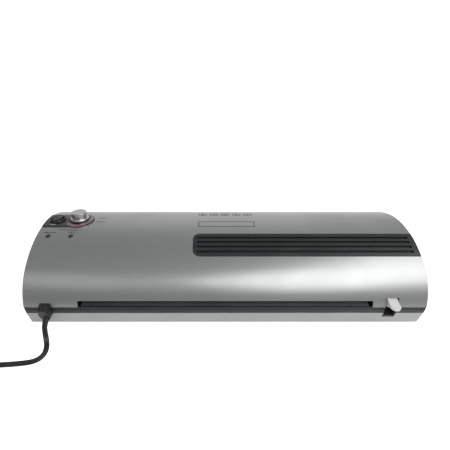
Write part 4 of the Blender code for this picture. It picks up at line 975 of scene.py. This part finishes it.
marks = {
    "lift": 0.03 * mm,
    "overlayLift": 1.13 * mm,
    "ink": 0.04 * mm,
    "above": 90 * mm,            # where a mark is drawn, before it is laid on the cover
    "dial": {"inner": 13.4 * mm, "outer": 17.8 * mm, "from": radians(-140), "to": radians(35),
             "rearward": 1.5 * mm, "grow": 0.33, "steps": 3},
    # each line of print: middle x and y, width and height, in mm
    "notesLeft": [(-214.8, 83.4, 15.5, 1.9), (-199.8, 89.0, 13.5, 1.9), (-188.0, 87.6, 12.0, 1.7),
                  (-188.4, 83.4, 10.0, 1.7)],
    "notesRight": [(-158.5, 117.0, 11.5, 2.2), (-158.5, 106.5, 12.5, 2.0)],
    "dashes": [(-216.5, 98.2, 8.0, 1.5), (-212.5, 123.0, 3.0, 1.1)],
    "notice": {"spot": (3.9 * mm, 101 * mm), "size": (71.5 * mm, 12.5 * mm), "line": 0.95 * mm},
    "signs": {"x": 3.9, "y": 130, "pitch": 15.2, "ring": (12.0 * mm, 9.6 * mm), "line": 1.2 * mm},
    # the shape in each sign: width, height and turn
    "signShapes": [("disc", 3.8, 3.8, 0), ("triangle", 4.6, 4.6, pi / 2), ("bar", 5.4, 1.8, 0),
                   ("bar", 1.8, 5.0, 0), ("bar", 5.6, 1.6, pi / 4)],
}


def layOnCover(made, lift):
    # a flat mark drawn above the cover is laid on it, and gets the thickness of the ink
    for point in made.data.vertices:
        point.co = coverSpot(point.co.x, point.co.y - rearY, lift)[0]
    applyModifier(made, "SOLIDIFY", thickness=marks["ink"], offset=0)
    outwardNormals(made)


def printMark(name, shape, spot, size, turn=0.0, lift=marks["lift"], ink="greyPrint", slot="silver_shell",
              inner=0.0):
    # a thin printed shape that follows the cover: a bar, disc, ring, frame or triangle seen from above
    above = caseAt(*spot, marks["above"])
    wide, tall = size
    deselectAll()
    if shape == "bar":
        bpy.ops.mesh.primitive_grid_add(x_subdivisions=max(2, ceil(wide / mm)),
                                        y_subdivisions=max(2, ceil(tall / mm)), size=1, location=above)
    elif shape == "frame":
        bpy.ops.mesh.primitive_plane_add(size=1, location=above)
    else:
        bpy.ops.mesh.primitive_circle_add(vertices=3 if shape == "triangle" else 40, radius=0.5, fill_type="NGON",
                                          location=above)
    made = sizeNew(name, (wide, tall, 1), turn)
    if inner:
        pickFaces(made, lambda middle, normal: True)
        bpy.ops.mesh.inset(thickness=inner)
        bpy.ops.mesh.delete(type="FACE")
        bpy.ops.mesh.select_all(action="SELECT")
        bpy.ops.mesh.subdivide(number_cuts=6 if shape == "frame" else 1)
        leaveEdit()
    pickFaces(made, lambda middle, normal: True)
    bpy.ops.mesh.normals_make_consistent(inside=False)
    leaveEdit()
    layOnCover(made, lift)
    return dressPiece(made, name, "case", slot, finish[ink])


def makeDialBand():
    # the printed scale round the rear and right of the knob, an arc of even width
    x, y = controls["knob"]
    d = marks["dial"]
    middle = caseAt(x, y - d["rearward"], marks["above"])
    deselectAll()
    bpy.ops.mesh.primitive_circle_add(vertices=96, radius=d["inner"], location=middle)
    made = sizeNew("dialBand", (1, 1, 1))
    pickPoints(made, lambda p: not d["from"] <= atan2(p.y - middle.y, p.x - middle.x) <= d["to"])
    bpy.ops.mesh.delete(type="VERT")
    bpy.ops.mesh.select_all(action="SELECT")
    size = 1 + (d["outer"] / d["inner"] - 1) * d["grow"]
    for step in range(d["steps"]):
        bpy.ops.mesh.extrude_edges_move()
        bpy.ops.transform.resize(value=(size, size, 1), center_override=middle)
    leaveEdit()
    outwardNormals(made)
    layOnCover(made, marks["overlayLift"])
    dressPiece(made, "dial_band", "case", "panel_print", finish["maroonPrint"])


makeDialBand()


def joinPieces(name, pieces):
    # several marks of one print become one piece
    deselectAll()
    for piece in pieces:
        piece.select_set(True)
    bpy.context.view_layer.objects.active = pieces[0]
    bpy.ops.object.join()
    pieces[0].name = name
    pieces[0].data.name = name
    return pieces[0]


def pilePrint(name, rows, ink, slot="silver_shell", lift=marks["lift"]):
    # rows of short plain strokes that stand where a line of print is
    made = []
    for x, y, wide, tall in rows:
        count = max(1, round(wide / (1.7 * tall)))
        for step in range(count):
            spot = ((x - wide / 2 + wide * (step + 0.5) / count) * mm, y * mm)
            size = (0.62 * wide / count * mm, tall * (0.75 + 0.25 * ((step * 5) % 3) / 2) * mm)
            made.append(printMark(f"{name}Stroke", "bar", spot, size, lift=lift, ink=ink, slot=slot))
    return joinPieces(name, made)


def makePrinting():
    pilePrint("notes_left", marks["notesLeft"], "greyPrint")
    pilePrint("notes_right", marks["notesRight"], "greyPrint")
    notice, row = marks["notice"], marks["signs"]
    printMark("notice_frame", "frame", notice["spot"], notice["size"], inner=notice["line"])
    signs = []
    for index, (shape, wide, tall, turn) in enumerate(marks["signShapes"]):
        spot = ((row["x"] + row["pitch"] * (index - 2)) * mm, row["y"] * mm)
        signs.append(printMark("signRing", "disc", spot, row["ring"], inner=row["line"], ink="bluePrint"))
        signs.append(printMark("signInside", shape, spot, (wide * mm, tall * mm), turn=turn, ink="bluePrint"))
    joinPieces("pictogram_row", signs)
    pilePrint("overlay_dash", marks["dashes"], "whitePrint", slot="panel_print", lift=marks["overlayLift"])


makePrinting()
print("printing made")


# temperature knob: a turned cap on a bright skirt

knob = {
    "seat": 1.4 * mm,
    "height": 9.6 * mm,
    "radius": 9.6 * mm,
    "skirtRadius": 11.6 * mm,
    "skirt": 1.6 * mm,
    "bore": 3.3 * mm,
    "crownRound": 0.9 * mm,
    "gapRadius": 13.3 * mm,
    "ringLow": 1.12 * mm,
    "ringHigh": 1.32 * mm,
}


def turnProfile(name, profile, place, out, steps=72):
    # a turned piece: an edge is drawn along the profile in a radial plane and spun all round
    deselectAll()
    bpy.ops.mesh.primitive_plane_add(size=1)
    made = bpy.context.object
    made.name = name
    editPiece(made, "VERT")
    made.data.vertices[0].co = (profile[0][0], 0, profile[0][1])
    made.data.vertices[0].select = True
    bpy.ops.object.mode_set(mode="EDIT")
    bpy.ops.mesh.select_all(action="INVERT")
    bpy.ops.mesh.delete(type="VERT")
    bpy.ops.mesh.select_all(action="SELECT")
    for (r0, h0), (r1, h1) in zip(profile, profile[1:]):
        bpy.ops.mesh.extrude_region_move(TRANSFORM_OT_translate={"value": (r1 - r0, 0, h1 - h0)})
    bpy.ops.mesh.select_all(action="SELECT")
    bpy.ops.mesh.spin(steps=steps, angle=2 * pi, center=(0, 0, 0), axis=(0, 0, 1))
    leaveEdit()
    closeUp(made)
    moveInMesh(made, standing(place, out))
    return made


def makeKnob():
    place, out = coverSpot(*controls["knob"])
    seat, radius, skirt, bore = knob["seat"], knob["radius"], knob["skirtRadius"], knob["bore"]
    top, over, crown = seat + knob["height"], seat + knob["skirt"], knob["crownRound"]
    profile = [(0, top - 0.35 * mm), (radius - 2.2 * mm, top - 0.25 * mm), (radius - 1.5 * mm, top),
               (radius - crown, top), (radius - 0.25 * mm, top - 0.3 * mm), (radius, top - crown),
               (radius - 0.35 * mm, over + 1.2 * mm), (radius - 0.5 * mm, over + 0.3 * mm),
               (radius + 0.6 * mm, over + 0.1 * mm), (skirt - 1.0 * mm, over),
               (skirt - 0.3 * mm, over - 0.25 * mm), (skirt, seat + knob["skirt"] / 2), (skirt - 0.1 * mm, seat),
               (bore, seat), (bore, top - 2.5 * mm), (0, top - 2.5 * mm)]
    cap = turnProfile("temperatureKnob", profile, place, out, 96)
    # the pointer is a groove across the cap's rim
    pointer = block("pointerGroove", Vector((-0.5 * mm, -radius - 1 * mm, top - 0.5 * mm)),
                    Vector((0.5 * mm, -radius + 3.4 * mm, top + 1 * mm)))
    moveInMesh(pointer, standing(place, out))
    cutAway(cap, pointer)
    softenEdges(cap, 0.12 * mm, 2, 40)
    smoothShading(cap, 30)
    dressPiece(cap, "knob_cap", "knob", "knob_metal", knobFinish("turnedAluminium", place, out))
    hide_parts("temperature_knob")
    # painted shade: a thin matte black ring round the knob's skirt stands for the dark gap there
    outer, low, high = knob["gapRadius"], knob["ringLow"], knob["ringHigh"]
    ring = turnProfile("knobGapShadeRing", [(skirt + 0.1 * mm, low), (outer, low), (outer - 0.2 * mm, high),
                                    (skirt + 0.3 * mm, high)], place, out, 64)
    smoothShading(ring, 30)
    dressPiece(ring, "knob_gap_shade_ring", "case", "black_trim", finish["trimPlastic"])


def knobFinish(name, place, out):
    # satin metal with turned rings about the knob's own axis
    made, tree, shader = newMaterial(name)
    turn = standing(place, out)
    here = putNode(tree, "TexCoord").outputs["Object"]
    about = putNode(tree, "Mapping", {"Vector": here}, vector_type="TEXTURE")
    about.inputs["Location"].default_value = turn.to_translation()
    about.inputs["Rotation"].default_value = turn.to_euler()
    rings = groupNode(tree, "rings", Place=about.outputs[0], Pitch=0.4 * mm)
    patches = groupNode(tree, "patches", Place=here, Patch_Size=6 * mm)["Patches"]
    rubbed = groupNode(tree, "wear", Place=here, Amount=0.5)["Wear"]
    shade = mixColours(tree, rings["Streak"], (0.56, 0.56, 0.53, 1), (0.66, 0.66, 0.63, 1))
    shade = mixColours(tree, rubbed, shade, (0.85, 0.85, 0.83, 1))
    sheen = spread(tree, patches, first=0.32, last=0.40)
    wireSkin(tree, shader, shade, sheen, rings["Height"], 0.0008 * mm)
    shader.inputs["Metallic"].default_value = 1.0
    return made


makeKnob()
print("knob made")


# power switch: round flanged housing and a rocker with a hollow at each side of its ridge

switch = {
    "seat": 1.4 * mm,
    "rim": 1.8 * mm,
    "radius": 10 * mm,
    "barrel": 8.8 * mm,
    "rockerRadius": 7.6 * mm,
    "running": 0.6 * mm,
    "wellFloor": -7 * mm,
    "hinge": 2.6 * mm,
    "tilt": radians(8),
    "dishRadius": 19.4 * mm,
    "dishDepth": 0.5 * mm,
    "dishSpot": 4.6 * mm,
}


def makeSwitch():
    place, out = coverSpot(*controls["switch"])
    w = switch
    rim = w["seat"] + w["rim"]
    well = w["rockerRadius"] + w["running"]
    profile = [(0, w["wellFloor"]), (well, w["wellFloor"]), (well, rim - 0.3 * mm), (well + 0.3 * mm, rim),
               (w["radius"] - 0.9 * mm, rim), (w["radius"] - 0.35 * mm, rim - 0.2 * mm),
               (w["radius"], rim - 0.8 * mm), (w["radius"], w["seat"]), (w["barrel"], w["seat"]),
               (w["barrel"], w["wellFloor"] - 7 * mm),
               (0, w["wellFloor"] - 7 * mm)]
    housing = turnProfile("switchHousing", profile, place, out, 72)
    smoothShading(housing, 30)
    dressPiece(housing, "switch_bezel", "case", "black_trim", finish["switchPlastic"])
    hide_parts("switch_housing")
    # the rocker is turned about its hinge, then tilted and moved to its place
    face, foot, radius = rim + 0.9 * mm - w["hinge"], rim - 4 * mm - w["hinge"], w["rockerRadius"]
    profile = [(0, face), (radius - 1.2 * mm, face), (radius - 0.7 * mm, face - 0.5 * mm),
               (radius - 1.1 * mm, foot), (0, foot)]
    rocker = turnProfile("powerRocker", profile, (0, 0, 0), (0, 0, 1), 64)
    # each half of the face is a shallow hollow, so a ridge is left over the hinge
    for side in (-1, 1):
        middle = (side * w["dishSpot"], 0, face + w["dishRadius"] - w["dishDepth"])
        cutAway(rocker, barrel("rockerDish", middle, (0, 1, 0), w["dishRadius"], 30 * mm, 160))
    softenEdges(rocker, 0.18 * mm, 2, 25)
    hinged = standing(place + out * w["hinge"], out)
    moveInMesh(rocker, hinged @ tiltAbout(hinged, out, w["tilt"]))
    smoothShading(rocker, 30)
    dressPiece(rocker, "rocker_button", "rocker", "black_trim", finish["switchPlastic"])
    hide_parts("power_rocker")
    return rocker


def tiltAbout(upright, out, angle):
    # the hinge's axis lies across the switch, so the left half goes down
    axis = upright.inverted().to_3x3() @ Vector((0, out.z, -out.y))
    return Matrix.Rotation(-angle, 4, axis)


rockerButton = makeSwitch()


def makeRockerMarks():
    # two small printed rings on the rocker's right half
    place, out = coverSpot(*controls["switch"])
    for index, (dx, dy, outer) in enumerate(((3.0, 1.9, 1.5), (3.4, -2.1, 1.2))):
        deselectAll()
        bpy.ops.mesh.primitive_circle_add(vertices=32, radius=outer * mm, fill_type="NGON",
                                          location=place + Vector((dx * mm, dy * mm, 20 * mm)))
        made = sizeNew("rockerMark", (1, 1, 1))
        pickFaces(made, lambda middle, normal: True)
        bpy.ops.mesh.inset(thickness=0.45 * mm)
        bpy.ops.mesh.delete(type="FACE")
        leaveEdit()
        applyModifier(made, "SHRINKWRAP", target=rockerButton, wrap_method="PROJECT", use_project_z=True,
                      use_negative_direction=True, use_positive_direction=False, offset=marks["lift"])
        applyModifier(made, "SOLIDIFY", thickness=marks["ink"], offset=0)
        outwardNormals(made)
        dressPiece(made, f"rocker_mark_{index + 1}", "rocker", "black_trim", finish["greenPrint"])


makeRockerMarks()
print("switch made")


lights = {"lens": 2.4 * mm, "bezel": 3.1 * mm}


def makeLights():
    # each pilot light is a domed lens in a thin dark collar
    wall = coverShape["wall"]
    for index, (node, spot) in enumerate(controls["lights"].items()):
        place, out = coverSpot(*spot)
        r = lights["lens"]
        profile = [(0, 0.6 * mm), (r * 0.35, 0.56 * mm), (r * 0.62, 0.42 * mm), (r * 0.85, 0.12 * mm),
                   (r, -0.4 * mm), (r, -wall - 1.6 * mm), (r + 0.6 * mm, -wall - 1.6 * mm),
                   (r + 0.6 * mm, -wall - 3 * mm),
                   (0, -wall - 3 * mm)]
        lens = turnProfile("pilotLens", profile, place, out, 40)
        smoothShading(lens, 50)
        dressPiece(lens, f"pilot_lens_{index + 1}", "case", "lens", finish["smokedLens"])
        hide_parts(node)
        profile = [(r + 0.05 * mm, 0.05 * mm), (r + 0.15 * mm, 0.22 * mm),
                   (lights["bezel"] - 0.15 * mm, 0.22 * mm), (lights["bezel"], 0.02 * mm),
                   (r + 0.25 * mm, -0.25 * mm)]
        collar = turnProfile("pilotCollar", profile, place, out, 40)
        smoothShading(collar, 40)
        dressPiece(collar, f"pilot_collar_{index + 1}", "case", "black_trim", finish["switchPlastic"])


makeLights()
print("pilot lights made")


# softened copies of the solids whose shape is right but whose edges are sharp

soft = {
    "mid_frame": ("trim_band", 0.22, "case", "black_trim", "trimPlastic"),
    "exit_guide": ("exit_deck", 0.15, "case", "black_trim", "guidePlastic"),
    "feed_guide": ("feed_deck", 0.15, "case", "black_trim", "guidePlastic"),
    "release_lever": ("release_tab", 0.55, "release", "lever_plastic", "ivoryPlastic"),
    "strain_relief": ("lead_gland", 0.5, "case", "cord_pvc", "leadPlastic"),
    "mains_plug": ("plug_body", 1.0, "case", "cord_pvc", "leadPlastic"),
}


def softCopy(node, name, width, body, slot, look, angle=30):
    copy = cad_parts[node].copy()
    copy.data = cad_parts[node].data.copy()
    for key in list(copy.keys()):
        del copy[key]
    copy.parent = None
    scene.collection.objects.link(copy)
    copy.matrix_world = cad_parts[node].matrix_world.copy()
    placeInMesh(copy)
    bpy.ops.object.mode_set(mode="EDIT")
    bpy.ops.mesh.select_all(action="SELECT")
    bpy.ops.mesh.remove_doubles(threshold=0.002 * mm)
    bpy.ops.mesh.customdata_custom_splitnormals_clear()
    bpy.ops.mesh.dissolve_limited(angle_limit=radians(1))
    bpy.ops.mesh.normals_make_consistent(inside=False)
    leaveEdit()
    softenEdges(copy, width * mm, 3, angle)
    smoothShading(copy, 35)
    dressPiece(copy, name, body, slot, finish[look])
    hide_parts(node)
    return copy


softened = {node: softCopy(node, *spec) for node, spec in soft.items()}
glandMiddle = caseAt((slots["gland"][0] + slots["gland"][1]) / 2, 0, 0)
pickPoints(softened["strain_relief"], lambda p: p.y < glandMiddle.y - 1.4 * mm and p.z > baseZ + 15.2 * mm)
bpy.ops.transform.resize(value=(0.80, 0.66, 1), center_override=glandMiddle)
leaveEdit()
print("softened copies made:", len(softened))


def makeSprings():
    # the pressure springs are softened copies, each with a mesh of its own
    for side in ("left", "right"):
        node = "pressure_spring_" + side
        made = softCopy(node, "spring_" + side, 0.02, "case", "steel", "zincSteel")
        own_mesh(made)


makeSprings()
print("springs made")

# the solids that keep their own mesh, by finish

plainFinishes = {
    "naturalNylon": ["release_cam_left", "release_cam_right", "bearing_block_left", "bearing_block_right",
                     "lower_bush_left", "lower_bush_right", "lower_gear", "upper_gear", "motor_pinion",
                     "terminal_block"],
    "zincSteel": ["release_shaft", "side_plate_left", "side_plate_right", "frame_screw_1", "frame_screw_2",
                  "frame_screw_3", "frame_screw_4", "case_screw_1", "case_screw_2", "case_screw_3", "case_screw_4",
                  "tie_rod_rear", "tie_rod_front", "lower_shaft", "upper_shaft", "motor_bracket",
                  "temperature_control"],
    "siliconeRubber": ["lower_roller", "upper_roller"],
    "millAluminium": ["upper_heat_shoe", "lower_heat_shoe"],
    "footRubber": ["foot_1", "foot_2", "foot_3", "foot_4"],
    "plainBrass": ["plug_pin_1", "plug_pin_2", "thermostat"],
    "boardLacquer": ["control_board"],
    "relayPlastic": ["relay"],
    "motorSteel": ["motor"],
}
for look, nodes in plainFinishes.items():
    for node in nodes:
        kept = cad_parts[node]
        kept.data.materials.clear()
        kept.data.materials.append(finish[look])
print("kept solids finished")


# floor and light

studio = {
    "floorSize": 6.0,
    "floorColour": (0.80, 0.80, 0.80, 1),
    "worldColour": (1.0, 1.0, 1.0, 1),
    # rear to feed side: where, and how bright
    "worldBands": ((0.0, 0.14), (0.16, 0.22), (0.3, 0.31), (0.72, 0.29), (0.88, 0.40), (1.0, 0.85)),
    "floorGlow": (0.30, 1.0),       # as light, and as the camera sees it
    "lamps": {
        "rightSoftbox": {"place": (0.60, -0.44, 0.94), "aim": (0.10, -0.05, 0.04), "size": (1.5, 0.72),
                         "power": 10.8},
        "leftFill": {"place": (-0.55, -0.60, 0.80), "aim": (-0.12, -0.05, 0.03), "size": (0.7, 0.4),
                     "power": 0.55},
    },
}


def makeStudio():
    deselectAll()
    bpy.ops.mesh.primitive_grid_add(x_subdivisions=2, y_subdivisions=2, size=studio["floorSize"],
                                    location=(0, 0, 0))
    floor = bpy.context.object
    floor.name = "studioFloor"
    plain, tree, shader = newMaterial("studioFloorPaint")
    shader.inputs["Base Color"].default_value = studio["floorColour"]
    shader.inputs["Roughness"].default_value = 0.9
    shader.inputs["Specular IOR Level"].default_value = 0.1
    shader.inputs["Emission Color"].default_value = (1, 1, 1, 1)
    seen = putNode(tree, "LightPath").outputs["Is Camera Ray"]
    unseenGlow, seenGlow = studio["floorGlow"]
    glow = spread(tree, seen, first=unseenGlow, last=seenGlow)
    tree.links.new(glow, shader.inputs["Emission Strength"])
    floor.data.materials.append(plain)
    scene.world = bpy.data.worlds.new("studioAir")
    scene.world.use_nodes = True
    air = scene.world.node_tree.nodes["Background"]
    air.inputs["Color"].default_value = studio["worldColour"]
    sky = scene.world.node_tree
    across = putNode(sky, "SeparateXYZ", {"Vector": putNode(sky, "TexCoord").outputs["Generated"]}).outputs["Y"]
    bands = putNode(sky, "ValToRGB", {"Fac": spread(sky, across, -1.0, 1.0)})
    stops = bands.color_ramp.elements
    for index, (where, level) in enumerate(studio["worldBands"]):
        stop = stops[index] if index < 2 else stops.new(where)
        stop.position, stop.color = where, (level, level, level, 1)
    seen = putNode(sky, "LightPath").outputs["Is Camera Ray"]
    sky.links.new(mathNode(sky, "MAXIMUM", bands.outputs[0], seen), air.inputs["Strength"])
    for name, spec in studio["lamps"].items():
        lamp = bpy.data.objects.new(name, bpy.data.lights.new(name, "AREA"))
        scene.collection.objects.link(lamp)
        lamp.data.shape = "RECTANGLE"
        lamp.data.size, lamp.data.size_y = spec["size"]
        lamp.data.energy = spec["power"]
        lamp.location = spec["place"]
        aim = Vector(spec["aim"]) - Vector(spec["place"])
        lamp.rotation_euler = aim.to_track_quat("-Z", "Y").to_euler()
    scene.view_settings.view_transform = "Standard"


makeStudio()
print("studio made")
